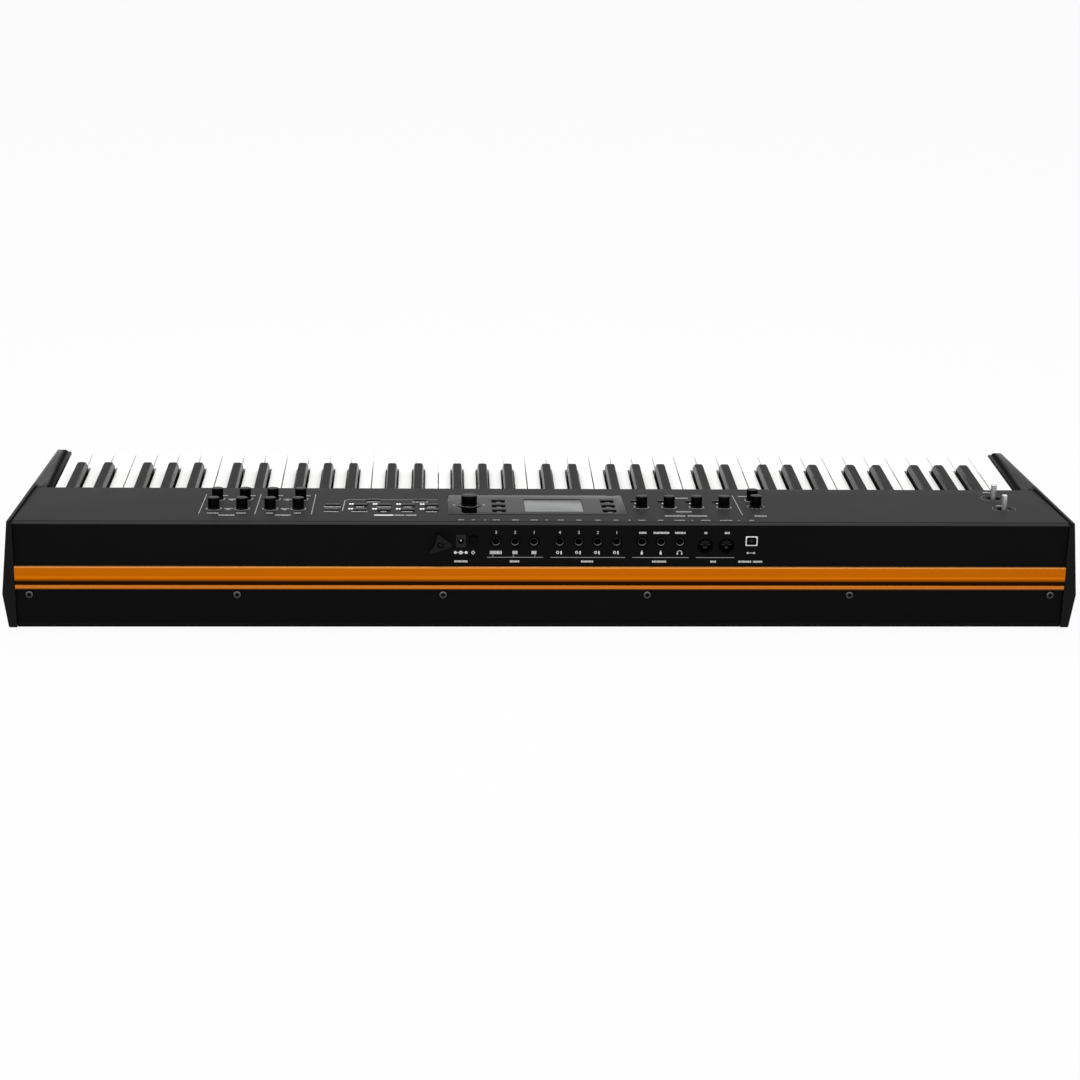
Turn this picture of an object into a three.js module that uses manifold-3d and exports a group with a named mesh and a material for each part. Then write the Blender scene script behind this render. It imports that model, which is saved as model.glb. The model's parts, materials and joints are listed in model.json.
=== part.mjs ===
// A 73-key stage piano: a folded steel case between two end cheeks, a weighted keyboard, a sloping control
// panel and a rear socket field. Millimetres, +Z up, the player sits at -Y and +X is the treble end.

import * as THREE from "three";
import { mergeVertices } from "three/addons/utils/BufferGeometryUtils.js";
import Module from "manifold-3d";

// Clearances
const gap = 0.3; // between pieces that touch
const overrun = 2; // how far a cutting tool runs past what it cuts

// Keyboard
const whiteKeyCount = 43; // E up to E, with 30 black keys between them
const keyPitch = 23.5;
const keyGap = 0.9;
const keyVisible = 150;
const keyRecess = 13.73; // white tops below the panel's front edge
const whiteDeep = 20;
const tailDrop = 2.9; // tails below the white tops
const tailDeep = 12;
const tailLap = 8; // how far a tail runs forward into its cap
const blackRise = 11.6; // black tops above white tops
const blackFront = 100; // length of a black key in front of the panel
const blackFrontRun = 13; // how far its sloping front leans back
const blackTopWidth = 9;
const blackBaseWidth = 12;
const slotClearance = 1; // beside and in front of a black key
const pairShift = 2.33; // C and D sharp stand apart by this much from the joints below them
const tripleShift = 3.5; // so do F and A sharp
const lipClearance = 1.2; // behind a black key's cap
const pivotBack = 50; // hinge line in front of the rear face
const pivotWide = 4;
const keyDip = 10;

// Coupling bars under the tails: one for each of the 12 notes
const barPitch = 6;
const barWide = 3;
const barTall = 4;
const barFirst = 14; // first bar in front of the hinge line
const barDrop = 11; // from the tails down to the bars
const postWide = 6;

// Case
const sheet = 1.5;
const caseHeight = 108.5; // to the rear bend of the panel
const panelFall = 14.87; // from the rear bend down to the panel's front edge
const panelDepth = 140;
const panelLip = 2.5; // from the white tops up to the panel's turned-down lip
const bendRadius = 3.3;
const frontBendRadius = 1.8;
const footFoldRadius = 1.9;
const wallJoint = 50; // height where tray and panel meet behind the rail
const frontClearance = 4; // from key fronts to the front wall
const frontWallDrop = 2.9; // from the underside of the white keys down to the front wall
const endRoom = 10.75; // from the keyboard to the end of the sheet metal
const footHeight = 8;
const footRadius = 15;
const footTread = 13;
const footChamfer = 2;
const footStem = 3;
const footInset = 60;
const footBack = 45;

// End cheeks
const cheekTop = 5; // thickness at the top of the rear edge
const cheekWide = 12.7; // at the widest line
const cheekWideHeight = 33;
const cheekBase = 7.9;
const cheekBelow = 2.1; // reaches below the case
const cheekProud = 2.2; // stands behind the rear face
const cheekRise = 0.9; // above the panel at the rear
const cheekFrontRise = 0.4; // above the white tops at the front
const cheekFront = 4; // in front of the front wall
const cheekBottomRound = 1.6;
const cheekCornerRound = 4;
const ledgeGap = 1.3; // from the keyboard's end to the ledge
const ledgeDrop = 0.5; // ledge below the white tops
const ledgeRound = 1;
const coveStartFront = 7; // from the ledge's inner edge, at the front
const coveStartBack = 3.6; // and beside the panel
const ridgeStartFront = 10;
const ridgeStartBack = 8;
const armDeep = 20;

// Orange rail on the rear
const railTop = 62.2;
const railBottom = 38.1;
const railProud = 3.2;
const railSlotTop = 45.1;
const railSlotBottom = 42.9;
const railWeb = 0.9;
const railRoll = 1.9;
const railEdge = 0.9;
const railLipProud = 2.4;
const railLipEdge = 0.5;

// Rear screws and the tapped strip behind them
const screwCount = 6;
const screwPitch = 201.14;
const screwHeight = 32.55;
const screwHead = 4;
const screwHeadTall = 1.6;
const screwShank = 2;
const stripTall = 9;
const stripDeep = 2.6;

// Key frame
const framePlate = 2;
const frameInset = 8; // from the end of the sheet metal
const frameRailWide = 10;
const frameRailBack = 12; // behind the key fronts
const feltGap = 0.4;
const hingeWall = 8;
const hingeShoulder = 12; // below the knife edge
const frameBehind = 4; // frame behind the hinge line

// Contact board under the keys
const boardThick = 1.6;
const contactBoardDeep = 70;
const contactBoardBack = 130;
const contactBoardInset = 20;

// Knobs and their shafts, with places on the panel as x and distance from the rear bend
const knobRadius = 5.3;
const knobTall = 11.5;
const knobTaper = 0.25;
const knobRim = 5.9;
const knobRimTall = 0.9;
const knobEdge = 0.6;
const knobLift = 0.4;
const shaftRadius = 3;
const shaftInKnob = 7;
const shaftHole = 4;
const effectGap = 33.3; // from the part buttons to the first column
const effectPitch = 27.8;
const effectColumns = 4;
const effectNear = 51.5;
const effectRowPitch = 40;
const zoneGap = 16.9; // from the bezel's left edge to the first knob
const zonePitch = 27.7;
const zoneCount = 4;
const zoneAlong = 62;
const masterGap = 4.8; // more than a pitch beyond the last zone knob
const volumeAlong = 65;
const volumeRim = 7;
const inputLevelAlong = 91.5;
const dialInset = 20.8; // from the bezel's right edge
const dialAlong = 66;
const dialRadius = 7.7;
const dialTall = 10.8;
const dialPush = 0.6;
const collarRadius = 11;
const collarInner = 8.6;
const collarTall = 0.5;

// Display
const bezelX = 7.3;
const bezelWide = 176.8;
const bezelLong = 80.3;
const bezelAlong = 69.2;
const bezelProud = 0.3;
const bezelFlange = 1.2;
const bezelFlangeReach = 2;
const windowShift = -0.1; // from the middle between the soft buttons
const windowAlong = 66.9;
const windowSide = 18.9; // from the window to the soft buttons
const windowLong = 51.8;
const windowSunk = 0.4;
const moduleReach = 4;
const moduleDeep = 4;

// Buttons
const capWide = 13.4;
const capLong = 8;
const capProud = 1.3;
const capClearance = 0.3;
const webThick = 1.1;
const webWide = 5;
const rowAlong = 46.4;
const rowPitch = 20;
const rowCount = 3;
const gridInset = 16.7; // from the bezel's right edge to the first column
const gridPitch = 23.6;
const gridColumns = 4;
const pairGap = 4.2; // more than a pitch beyond the last column
const softRightInset = 50.3; // from the bezel's right edge
const softLeftInset = 16.5; // from the bezel's left edge
const zoneButtonShift = 5.2;
const zoneButtonAlong = 84.5;
const zoneCapWide = 7.4;
const zoneCapLong = 5;

// Control board under the panel
const boardDepth = 11.5; // from the panel's surface
const boardNear = 32;
const boardFar = 108;
const boardOverRight = 12.3; // beyond the last effect knobs
const boardOverLeft = 8.4; // beyond the volume knob
const potSize = 10;
const potTall = 6.5;
const bushRadius = 4.5;
const bushTall = 1.2;
const standoffRadius = 2.4;
const standoffInset = 8;
const standoffGap = 5; // from the bezel's right edge to the middle standoffs
const standoffNear = 36;
const standoffFar = 104;

// Joysticks
const stickEndInset = 50.8; // from the end of the sheet metal
const stickNear = 58;
const stickPitch = 45.3;
const stickHole = 7.4;
const stickRadius = 2.85;
const stickProud = 14.8;
const stickCrown = 0.8;
const stickPivotDeep = 8;
const stickPinStart = 3.8;
const stickNeck = 2;
const stickTab = 2; // half thickness
const stickDisc = 3;
const gimbalWide = 5.7; // half width between the ears
const gimbalLong = 4.2;
const gimbalTall = 1.5;
const gimbalSlot = 3.4;
const podEar = 2;
const podEarRise = 2;
const podFloor = 3.6;
const podBase = 4;
const podSide = 8;
const stickBoardInset = 12;

// Rear sockets, with x and distance down from the rear bend
const jackDrop = 20.3;
const jackPitch = 18.6;
const jackBore = 3.25;
const jackBoreDeep = 20;
const jackBush = 4.6;
const jackFlange = 5.7;
const jackFlangeThick = 0.9;
const jackLip = 0.5;
const jackMouth = 4.2;
const jackBody = 6.6;
const pedalX = 12.1; // lowest x of each group
const pedalCount = 3;
const audioInX = -68.8;
const audioInCount = 4;
const audioOutX = -131.1;
const audioOutCount = 3;
const jackBodyDeep = 25.9; // from the rear face
const jackBoardReach = 9;
const jackBoardTall = 20;
const midiDrop = 24.6;
const midiFirstX = -156.2;
const midiPitch = 21;
const midiRadius = 7.6;
const midiCup = 6.5;
const midiCupDeep = 6;
const midiBodyDeep = 13;
const midiBodySide = 8.6;
const usbX = -201.75;
const usbDrop = 19.5;
const usbWide = 12.9;
const usbTall = 11;
const usbMouthWide = 8.6;
const usbMouthTall = 7.9;
const usbMouthDeep = 9;
const usbBodyDeep = 16;
const inletX = 83.45;
const inletDrop = 19.9;
const inletWide = 9.7;
const inletTall = 13.5;
const inletBore = 3;
const inletBoreDeep = 9;
const inletPin = 1;
const inletPinShort = 1.4;
const inletBodyDeep = 13;
const switchX = 71.35;
const switchDrop = 18.75;
const switchWide = 7.1;
const switchTall = 7.9;
const switchProud = 2.4;
const switchFlange = 1.2;
const switchFlangeThick = 1.6;

// Cord hook beside the power inlet: x of its screw and three corners, and how far down each is
const hookX = 103.2;
const hookDrop = 21.2;
const hookUpX = 107.3;
const hookUpDrop = 11.3;
const hookInX = 92.9;
const hookInDrop = 24.3;
const hookOutX = 116.2;
const hookOutDrop = 32.3;
const hookCorner = 2.4;
const hookPlate = 2.6;
const hookStandOff = 6.2;
const hookBoss = 5;
const hookScrew = 1.5;
const hookNut = 3.2;
const hookNutThick = 2.4;

// Facets of rounds
const roundSides = 14;
const smallSides = 10;
const shaftSides = 8;
const nutSides = 6;
const filletSteps = 3;

// Sizes worked out from the ones above
const keyboardHalf = (whiteKeyCount * keyPitch) / 2;
const caseHalf = keyboardHalf + endRoom;
const keyFront = panelDepth + keyVisible;
const caseDepth = keyFront + frontClearance + sheet;
const panelFront = caseHeight - panelFall;
const whiteTop = panelFront - keyRecess;
const tailTop = whiteTop - tailDrop;
const cheekFrontTop = whiteTop + cheekFrontRise;
const whiteBottom = whiteTop - whiteDeep;
const tailBottom = tailTop - tailDeep;
const cheekFrontY = -caseDepth - cheekFront;
const hookReach = gap + hookStandOff + hookPlate;
const originBack = (hookReach + cheekFrontY) / 2; // the middle of the whole depth
const slope = Math.atan2(caseHeight - panelFront, panelDepth);
const bezelRight = bezelX + bezelWide / 2;
const bezelLeft = bezelX - bezelWide / 2;
const dialX = bezelRight - dialInset;
const softRightX = bezelRight - softRightInset;
const softLeftX = bezelLeft + softLeftInset;
const windowX = (softRightX + softLeftX) / 2 + windowShift;
const windowWide = softRightX - softLeftX - capWide - 2 * windowSide;
const gridX = bezelRight + gridInset;
const pairX = gridX + gridColumns * gridPitch + pairGap;
const effectX = pairX + effectGap;
const zoneX = bezelLeft - zoneGap;
const masterX = zoneX - zoneCount * zonePitch - masterGap;
const boardRight = effectX + (effectColumns - 1) * effectPitch + boardOverRight;
const boardLeft = masterX - boardOverLeft;
const standoffMiddleX = bezelRight + standoffGap;
const jackHeight = caseHeight - jackDrop;
const midiHeight = caseHeight - midiDrop;
const usbHeight = caseHeight - usbDrop;
const inletHeight = caseHeight - inletDrop;
const switchHeight = caseHeight - switchDrop;
const hookHeight = caseHeight - hookDrop;
const hookUpHeight = caseHeight - hookUpDrop;
const hookInHeight = caseHeight - hookInDrop;
const hookOutHeight = caseHeight - hookOutDrop;
const boardTop = -boardDepth;
const potTop = boardTop + potTall;
const underPanel = -sheet - gap;
const underBezel = underPanel - bezelFlange;

const wasm = await Module();
wasm.setup();

// Closed geometry to a solid that can be cut and joined
function solid(geometry) {
  const bare = geometry.clone();
  bare.deleteAttribute("normal");
  bare.deleteAttribute("uv");
  const merged = mergeVertices(bare);
  const corners = merged.index.array;
  const kept = [];
  for (let i = 0; i < corners.length; i += 3) {
    const [a, b, c] = corners.slice(i, i + 3);
    if (a !== b && b !== c && c !== a) kept.push(a, b, c);
  }
  const mesh = new wasm.Mesh({
    numProp: 3,
    vertProperties: merged.attributes.position.array,
    triVerts: new Uint32Array(kept),
  });
  return new wasm.Manifold(mesh);
}

function geometryOf(shape) {
  const mesh = shape.getMesh();
  const geometry = new THREE.BufferGeometry();
  geometry.setAttribute("position", new THREE.BufferAttribute(mesh.vertProperties, 3));
  geometry.setIndex(new THREE.BufferAttribute(mesh.triVerts, 1));
  const faceted = geometry.toNonIndexed();
  faceted.computeVertexNormals();
  return faceted;
}

function union(shapes) {
  return shapes.reduce((whole, shape) => whole.add(shape));
}

function cut(shape, tools) {
  return tools.reduce((rest, tool) => rest.subtract(tool), shape);
}

// A box between two corners
function block(low, high) {
  const size = high.map((value, axis) => value - low[axis]);
  const box = new THREE.BoxGeometry(...size);
  box.translate(...low.map((value, axis) => value + size[axis] / 2));
  return solid(box);
}

// An outline whose corners are [a, b] or [a, b, radius]
function outline(corners, steps = filletSteps) {
  const points = [];
  corners.forEach(([a, b, radius = 0], i) => {
    const corner = new THREE.Vector2(a, b);
    if (radius <= 0) {
      points.push(corner);
      return;
    }
    const before = new THREE.Vector2(...corners[(i + corners.length - 1) % corners.length]);
    const after = new THREE.Vector2(...corners[(i + 1) % corners.length]);
    const toBefore = before.sub(corner).normalize();
    const toAfter = after.sub(corner).normalize();
    const half = Math.acos(THREE.MathUtils.clamp(toBefore.dot(toAfter), -1, 1)) / 2;
    const inward = toBefore.clone().add(toAfter).normalize();
    const centre = inward.multiplyScalar(radius / Math.sin(half)).add(corner);
    const start = toBefore.multiplyScalar(radius / Math.tan(half)).add(corner).sub(centre);
    const end = toAfter.multiplyScalar(radius / Math.tan(half)).add(corner).sub(centre);
    const turn = Math.atan2(start.cross(end), start.dot(end));
    for (let step = 0; step <= steps; step++) {
      points.push(start.clone().rotateAround(new THREE.Vector2(), (turn * step) / steps).add(centre));
    }
  });
  return new THREE.Shape(points);
}

function extrude(shape, length) {
  return new THREE.ExtrudeGeometry(shape, { depth: length, bevelEnabled: false, steps: 1 });
}

// A profile in Y and Z drawn out along X
function alongX(corners, from, to) {
  const geometry = extrude(outline(corners), to - from);
  geometry.applyMatrix4(
    new THREE.Matrix4().makeBasis(
      new THREE.Vector3(0, 1, 0),
      new THREE.Vector3(0, 0, 1),
      new THREE.Vector3(1, 0, 0),
    ),
  );
  return solid(geometry.translate(from, 0, 0));
}

// A profile in X and Z drawn out along -Y, from the back
function alongY(corners, back, front) {
  const geometry = extrude(outline(corners), back - front);
  geometry.rotateX(Math.PI / 2);
  return solid(geometry.translate(0, back, 0));
}

// A plan in X and Y drawn out along Z
function alongZ(corners, from, to) {
  return solid(extrude(outline(corners), to - from).translate(0, 0, from));
}

// A turned solid on the Z axis from a profile of [radius, height]
function turned(profile, sides) {
  const points = profile.map(([radius, height]) => new THREE.Vector2(radius, height));
  const geometry = new THREE.LatheGeometry(points, sides);
  geometry.rotateX(Math.PI / 2);
  return solid(geometry);
}

function disc(x, y, from, to, radius, sides = smallSides) {
  const geometry = new THREE.CylinderGeometry(radius, radius, to - from, sides);
  geometry.rotateX(Math.PI / 2);
  return solid(geometry.translate(x, y, (from + to) / 2));
}

// A disc on a line along Y, for holes and sockets in the rear wall
function rearDisc(x, height, back, front, radius, sides = smallSides) {
  const geometry = new THREE.CylinderGeometry(radius, radius, back - front, sides);
  return solid(geometry.translate(x, (back + front) / 2, height));
}

// Geometry drawn on the panel, carried to the case's own frame
function fromPanel(shape) {
  const geometry = geometryOf(shape);
  geometry.applyMatrix4(panelFrame.matrix);
  return solid(geometry);
}

const piano = new THREE.Group();
piano.name = "stage_piano";
const caseFrame = new THREE.Group(); // rear face at Y 0, underside at Z 0
caseFrame.position.set(0, -originBack, footHeight);
piano.add(caseFrame);
const panelFrame = new THREE.Group(); // surface at Z 0, rear bend at Y 0
panelFrame.position.set(0, 0, caseHeight);
panelFrame.rotation.x = slope;
panelFrame.updateMatrix();
caseFrame.add(panelFrame);

const finishes = {
  steel: { color: 0x232324, roughness: 0.55, metalness: 0.35 },
  cheek: { color: 0x1b1b1c, roughness: 0.45, metalness: 0 },
  orange: { color: 0xd0740c, roughness: 0.35, metalness: 0.3 },
  ivory: { color: 0xf4f3ee, roughness: 0.3, metalness: 0 },
  ebony: { color: 0x1d1d1e, roughness: 0.45, metalness: 0 },
  knob: { color: 0x141415, roughness: 0.6, metalness: 0 },
  cap: { color: 0x3a3a3c, roughness: 0.5, metalness: 0 },
  gloss: { color: 0x2c2c2f, roughness: 0.12, metalness: 0 },
  glass: { color: 0x6f7173, roughness: 0.08, metalness: 0 },
  chrome: { color: 0xc9ccd0, roughness: 0.12, metalness: 1 },
  socket: { color: 0x101011, roughness: 0.5, metalness: 0 },
  tin: { color: 0xdfe1e3, roughness: 0.35, metalness: 0.8 },
  board: { color: 0x1f5a37, roughness: 0.6, metalness: 0 },
  bright: { color: 0x9a9da1, roughness: 0.35, metalness: 0.9 },
  rubber: { color: 0x161616, roughness: 0.85, metalness: 0 },
};

function piece(name, finish, shape, parent = caseFrame) {
  const mesh = new THREE.Mesh(geometryOf(shape), new THREE.MeshStandardMaterial(finishes[finish]));
  mesh.name = name;
  parent.add(mesh);
  return mesh;
}

// A row of equal steps
function steps(count, first, pitch) {
  return Array.from({ length: count }, (_, i) => first + i * pitch);
}

// Places of the controls
const zoneXs = steps(zoneCount, zoneX, -zonePitch);
const effectXs = steps(effectColumns, effectX, effectPitch);
const gridXs = steps(gridColumns, gridX, gridPitch);
const rows = steps(rowCount, rowAlong, rowPitch);
const bankXs = [gridX + gridPitch / 2, gridX + gridPitch * (gridColumns - 1) - gridPitch / 2];
const stickX = -caseHalf + stickEndInset;
const stickAlongs = steps(2, stickNear, stickPitch);
const knobs = [
  ...effectXs.map((x, i) => ({ name: `effect_knob_near_${i + 1}`, x, along: effectNear })),
  ...effectXs.map((x, i) => ({ name: `effect_knob_far_${i + 1}`, x, along: effectNear + effectRowPitch })),
  ...zoneXs.map((x, i) => ({ name: `zone_knob_${i + 1}`, x, along: zoneAlong })),
  { name: "volume_knob", x: masterX, along: volumeAlong, rim: volumeRim },
  { name: "input_level_knob", x: masterX, along: inputLevelAlong },
];
const jackXs = [
  ...steps(pedalCount, pedalX, jackPitch),
  ...steps(audioInCount, audioInX, jackPitch),
  ...steps(audioOutCount, audioOutX, jackPitch),
];
const midiXs = steps(2, midiFirstX, -midiPitch);
const screwXs = steps(screwCount, (-screwPitch * (screwCount - 1)) / 2, screwPitch);
const feet = [
  { name: "foot_rear_right", x: caseHalf - footInset, y: -footBack },
  { name: "foot_rear_left", x: -caseHalf + footInset, y: -footBack },
  { name: "foot_front_right", x: caseHalf - footInset, y: -caseDepth + footBack },
  { name: "foot_front_left", x: -caseHalf + footInset, y: -caseDepth + footBack },
];

// One button cap as a box on the panel, grown by a clearance when it cuts its hole
function cap(x, along, wide, long, from, to, grow = 0) {
  return block(
    [x - wide / 2 - grow, -along - long / 2 - grow, from],
    [x + wide / 2 + grow, -along + long / 2 + grow, to],
  );
}

// Lower tray: floor, front wall and the lower half of the rear wall, one folded sheet
function makeTray() {
  const frontTop = whiteBottom - frontWallDrop;
  const folded = alongX(
    [
      [-caseDepth, 0, footFoldRadius],
      [0, 0, footFoldRadius],
      [0, wallJoint - gap / 2],
      [-sheet, wallJoint - gap / 2],
      [-sheet, sheet],
      [sheet - caseDepth, sheet],
      [sheet - caseDepth, frontTop],
      [-caseDepth, frontTop],
    ],
    -caseHalf,
    caseHalf,
  );
  const screwHoles = screwXs.map((x) =>
    rearDisc(x, screwHeight, overrun, -sheet - overrun, screwShank + gap, shaftSides),
  );
  const footHoles = feet.map(({ x, y }) =>
    disc(x, y, -overrun, sheet + overrun, footStem + gap, shaftSides),
  );
  piece("base_tray", "steel", cut(folded, [...screwHoles, ...footHoles]));
}

// Upper panel: rear wall, sloping control surface and turned-down lip, one folded sheet
function makePanel() {
  const tilt = Math.tan(slope);
  const inner = (y) => caseHeight + y * tilt - sheet / Math.cos(slope);
  const lipBottom = whiteTop + panelLip;
  const folded = alongX(
    [
      [0, wallJoint + gap / 2],
      [0, caseHeight, bendRadius],
      [-panelDepth, panelFront, frontBendRadius],
      [-panelDepth, lipBottom],
      [sheet - panelDepth, lipBottom],
      [sheet - panelDepth, inner(sheet - panelDepth)],
      [-sheet, inner(-sheet), bendRadius - sheet],
      [-sheet, wallJoint + gap / 2],
    ],
    -caseHalf,
    caseHalf,
  );
  const low = -sheet - overrun;
  const holes = [
    ...knobs.map(({ x, along }) => disc(x, -along, low, overrun, shaftHole)),
    ...stickAlongs.map((along) => disc(stickX, -along, low, overrun, stickHole, roundSides)),
    cap(bezelX, bezelAlong, bezelWide, bezelLong, low, overrun, gap),
    ...gridXs.flatMap((x) =>
      rows.slice(0, 2).map((along) => cap(x, along, capWide, capLong, low, overrun, capClearance)),
    ),
    ...bankXs.map((x) => cap(x, rows[2], capWide, capLong, low, overrun, capClearance)),
    ...rows.slice(0, 2).map((along) => cap(pairX, along, capWide, capLong, low, overrun, capClearance)),
    ...zoneXs.map((x) =>
      cap(x + zoneButtonShift, zoneButtonAlong, zoneCapWide, zoneCapLong, low, overrun, capClearance),
    ),
  ].map(fromPanel);
  const through = (x, height, radius, sides) =>
    rearDisc(x, height, overrun, -sheet - overrun, radius, sides);
  const window = (x, height, wide, tall) =>
    block(
      [x - wide / 2 - gap, -sheet - overrun, height - tall / 2 - gap],
      [x + wide / 2 + gap, overrun, height + tall / 2 + gap],
    );
  const sockets = [
    ...jackXs.map((x) => through(x, jackHeight, jackBush + gap)),
    ...midiXs.map((x) => through(x, midiHeight, midiRadius + gap, roundSides)),
    window(usbX, usbHeight, usbWide, usbTall),
    window(inletX, inletHeight, inletWide, inletTall),
    window(switchX, switchHeight, switchWide, switchTall),
    through(hookX, hookHeight, hookScrew + gap, shaftSides),
  ];
  piece("top_panel", "steel", cut(folded, [...holes, ...sockets]));
}

// Extruded rail with a wide band over a narrow lip
function makeRail() {
  const rail = alongX(
    [
      [gap, railBottom],
      [railLipProud, railBottom, railLipEdge],
      [railLipProud, railSlotBottom, railLipEdge],
      [gap + railWeb, railSlotBottom],
      [gap + railWeb, railSlotTop],
      [railProud, railSlotTop, railRoll],
      [railProud, railTop, railEdge],
      [gap, railTop],
    ],
    -caseHalf,
    caseHalf,
  );
  piece("rear_rail", "orange", rail);
}

// One cheek, drawn for the treble end and mirrored for the other
function makeCheek(name, side) {
  const inner = caseHalf + gap;
  const ledge = keyboardHalf + ledgeGap;
  const ledgeTop = whiteTop - ledgeDrop;
  const rearTop = caseHeight + cheekRise;
  const frontY = cheekFrontY;
  const fall = (rearTop - cheekFrontTop) / (cheekProud - frontY);
  const lean = (cheekWide - cheekTop) / (rearTop - cheekWideHeight);
  const flank = [
    [inner, -cheekBelow],
    [inner + cheekBase, -cheekBelow, cheekBottomRound],
    [inner + cheekWide, cheekWideHeight, cheekCornerRound],
    [inner + cheekTop - lean * overrun, rearTop + overrun],
    [inner, rearTop + overrun],
  ];
  const sideView = alongX(
    [
      [cheekProud, -cheekBelow, cheekBottomRound],
      [cheekProud, rearTop, cheekBottomRound],
      [frontY, cheekFrontTop, cheekCornerRound],
      [frontY, -cheekBelow, cheekCornerRound],
    ],
    inner - overrun,
    inner + cheekWide + overrun,
  );
  const body = alongY(flank, cheekProud + overrun, frontY - overrun).intersect(sideView);
  // The arm beside the keys: a level ledge whose cove climbs to the sloping ridge
  const armBack = -panelDepth - gap;
  const section = (y, coveStart, ridgeStart) => {
    const top = rearTop + (y - cheekProud) * fall;
    const middle = (ledgeTop + top) / 2;
    return [
      [inner + gap, ledgeTop - armDeep],
      [inner + gap, top],
      [Math.min(ledge + ridgeStart, inner), top],
      [ledge + (coveStart + ridgeStart) / 2, middle],
      [ledge + coveStart, ledgeTop],
      [ledge + ledgeRound, ledgeTop],
      [ledge, ledgeTop - ledgeRound],
      [ledge, ledgeTop - armDeep],
    ];
  };
  const armFront = frontY + cheekCornerRound;
  const arm = loft([
    { y: armFront, points: section(armFront, coveStartFront, ridgeStartFront) },
    { y: armBack, points: section(armBack, coveStartBack, ridgeStartBack) },
  ]);
  const mesh = piece(name, "cheek", body.add(arm));
  mesh.scale.x = side;
}

// A closed body through outlines in X and Z with as many corners each, the front section first
function loft(sections) {
  const positions = sections.flatMap(({ y, points }) => points.flatMap(([x, z]) => [x, y, z]));
  const flats = sections.map(({ points }) => points.map(([x, z]) => new THREE.Vector2(x, z)));
  const count = flats[0].length;
  const index = [];
  const back = flats.length - 1;
  const clockwise = THREE.ShapeUtils.isClockWise(flats[back]);
  const side = (a, b, c) => index.push(...(clockwise ? [a, c, b] : [a, b, c]));
  for (let s = 0; s < back; s++) {
    for (let i = 0; i < count; i++) {
      const a = s * count + i;
      const b = s * count + ((i + 1) % count);
      side(a, a + count, b);
      side(b, a + count, b + count);
    }
  }
  for (const [section, facesBack] of [[0, false], [back, true]]) {
    const flat = flats[section];
    for (const corners of THREE.ShapeUtils.triangulateShape(flat, [])) {
      const turnedOver = THREE.ShapeUtils.isClockWise(corners.map((k) => flat[k]));
      const ordered = turnedOver === facesBack ? corners : [...corners].reverse();
      index.push(...ordered.map((k) => k + section * count));
    }
  }
  const geometry = new THREE.BufferGeometry();
  geometry.setAttribute("position", new THREE.Float32BufferAttribute(positions, 3));
  geometry.setIndex(index);
  return solid(geometry);
}

// Six screws through the rear wall into one tapped strip
function makeRearScrews() {
  const stripBack = -sheet - gap;
  const strip = block(
    [screwXs[0] - stripTall, stripBack - stripDeep, screwHeight - stripTall / 2],
    [screwXs[screwCount - 1] + stripTall, stripBack, screwHeight + stripTall / 2],
  );
  const screws = screwXs.flatMap((x) => [
    rearDisc(x, screwHeight, gap + screwHeadTall, gap, screwHead),
    rearDisc(x, screwHeight, gap + screwHeadTall / 2, stripBack - stripDeep / 2, screwShank, shaftSides),
  ]);
  piece("rear_screws", "steel", union([strip, ...screws]));
}

function makeFeet() {
  for (const { name, x, y } of feet) {
    const foot = turned(
      [
        [0, -footHeight],
        [footTread, -footHeight],
        [footRadius, -footHeight + footChamfer],
        [footRadius, -gap],
        [footStem, -gap],
        [footStem, sheet / 2],
        [0, sheet / 2],
      ],
      roundSides,
    );
    piece(name, "rubber", foot).position.set(x, y, 0);
  }
}

// Chassis of the keyboard: floor plate, front felt rail and the hinge wall that the tails rest on
function makeKeyFrame() {
  const floor = sheet + gap;
  const dipAt = (y) => (keyDip * (-y - pivotBack)) / (keyFront - pivotBack);
  const railFront = -keyFront + frameRailBack;
  const railTopAt = whiteBottom - dipAt(railFront) - feltGap;
  const hinge = -pivotBack;
  const half = caseHalf - frameInset;
  const frame = alongX(
    [
      [railFront, floor],
      [hinge + hingeWall / 2 + frameBehind, floor],
      [hinge + hingeWall / 2 + frameBehind, floor + framePlate],
      [hinge + hingeWall / 2, floor + framePlate],
      [hinge + hingeWall / 2, tailBottom - hingeShoulder],
      [hinge + pivotWide / 2, tailBottom - hingeShoulder / 2],
      [hinge + pivotWide / 2, tailBottom - gap],
      [hinge - pivotWide / 2, tailBottom - gap],
      [hinge - pivotWide / 2, tailBottom - hingeShoulder / 2],
      [hinge - hingeWall / 2, tailBottom - hingeShoulder],
      [hinge - hingeWall / 2, floor + framePlate],
      [railFront + frameRailWide, floor + framePlate],
      [railFront + frameRailWide, railTopAt],
      [railFront, railTopAt],
    ],
    -half,
    half,
  );
  const footHeads = feet.map(({ x, y }) => disc(x, y, 0, floor + gap, footStem + gap, shaftSides));
  piece("key_frame", "bright", cut(frame, footHeads));
  const boardBottom = floor + framePlate + gap;
  const board = block(
    [-half + contactBoardInset, -contactBoardBack - contactBoardDeep, boardBottom],
    [half - contactBoardInset, -contactBoardBack, boardBottom + boardThick],
  );
  piece("contact_board", "board", board);
}

// Keyboard: every key of one note is joined to the others by that note's bar
const notes = ["c", "c_sharp", "d", "d_sharp", "e", "f", "f_sharp", "g", "g_sharp", "a", "a_sharp", "b"];
const whiteNotes = ["c", "d", "e", "f", "g", "a", "b"];
const blackShifts = {
  c_sharp: -pairShift,
  d_sharp: pairShift,
  f_sharp: -tripleShift,
  g_sharp: 0,
  a_sharp: tripleShift,
};
const lowestNote = whiteNotes.indexOf("e");

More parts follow.
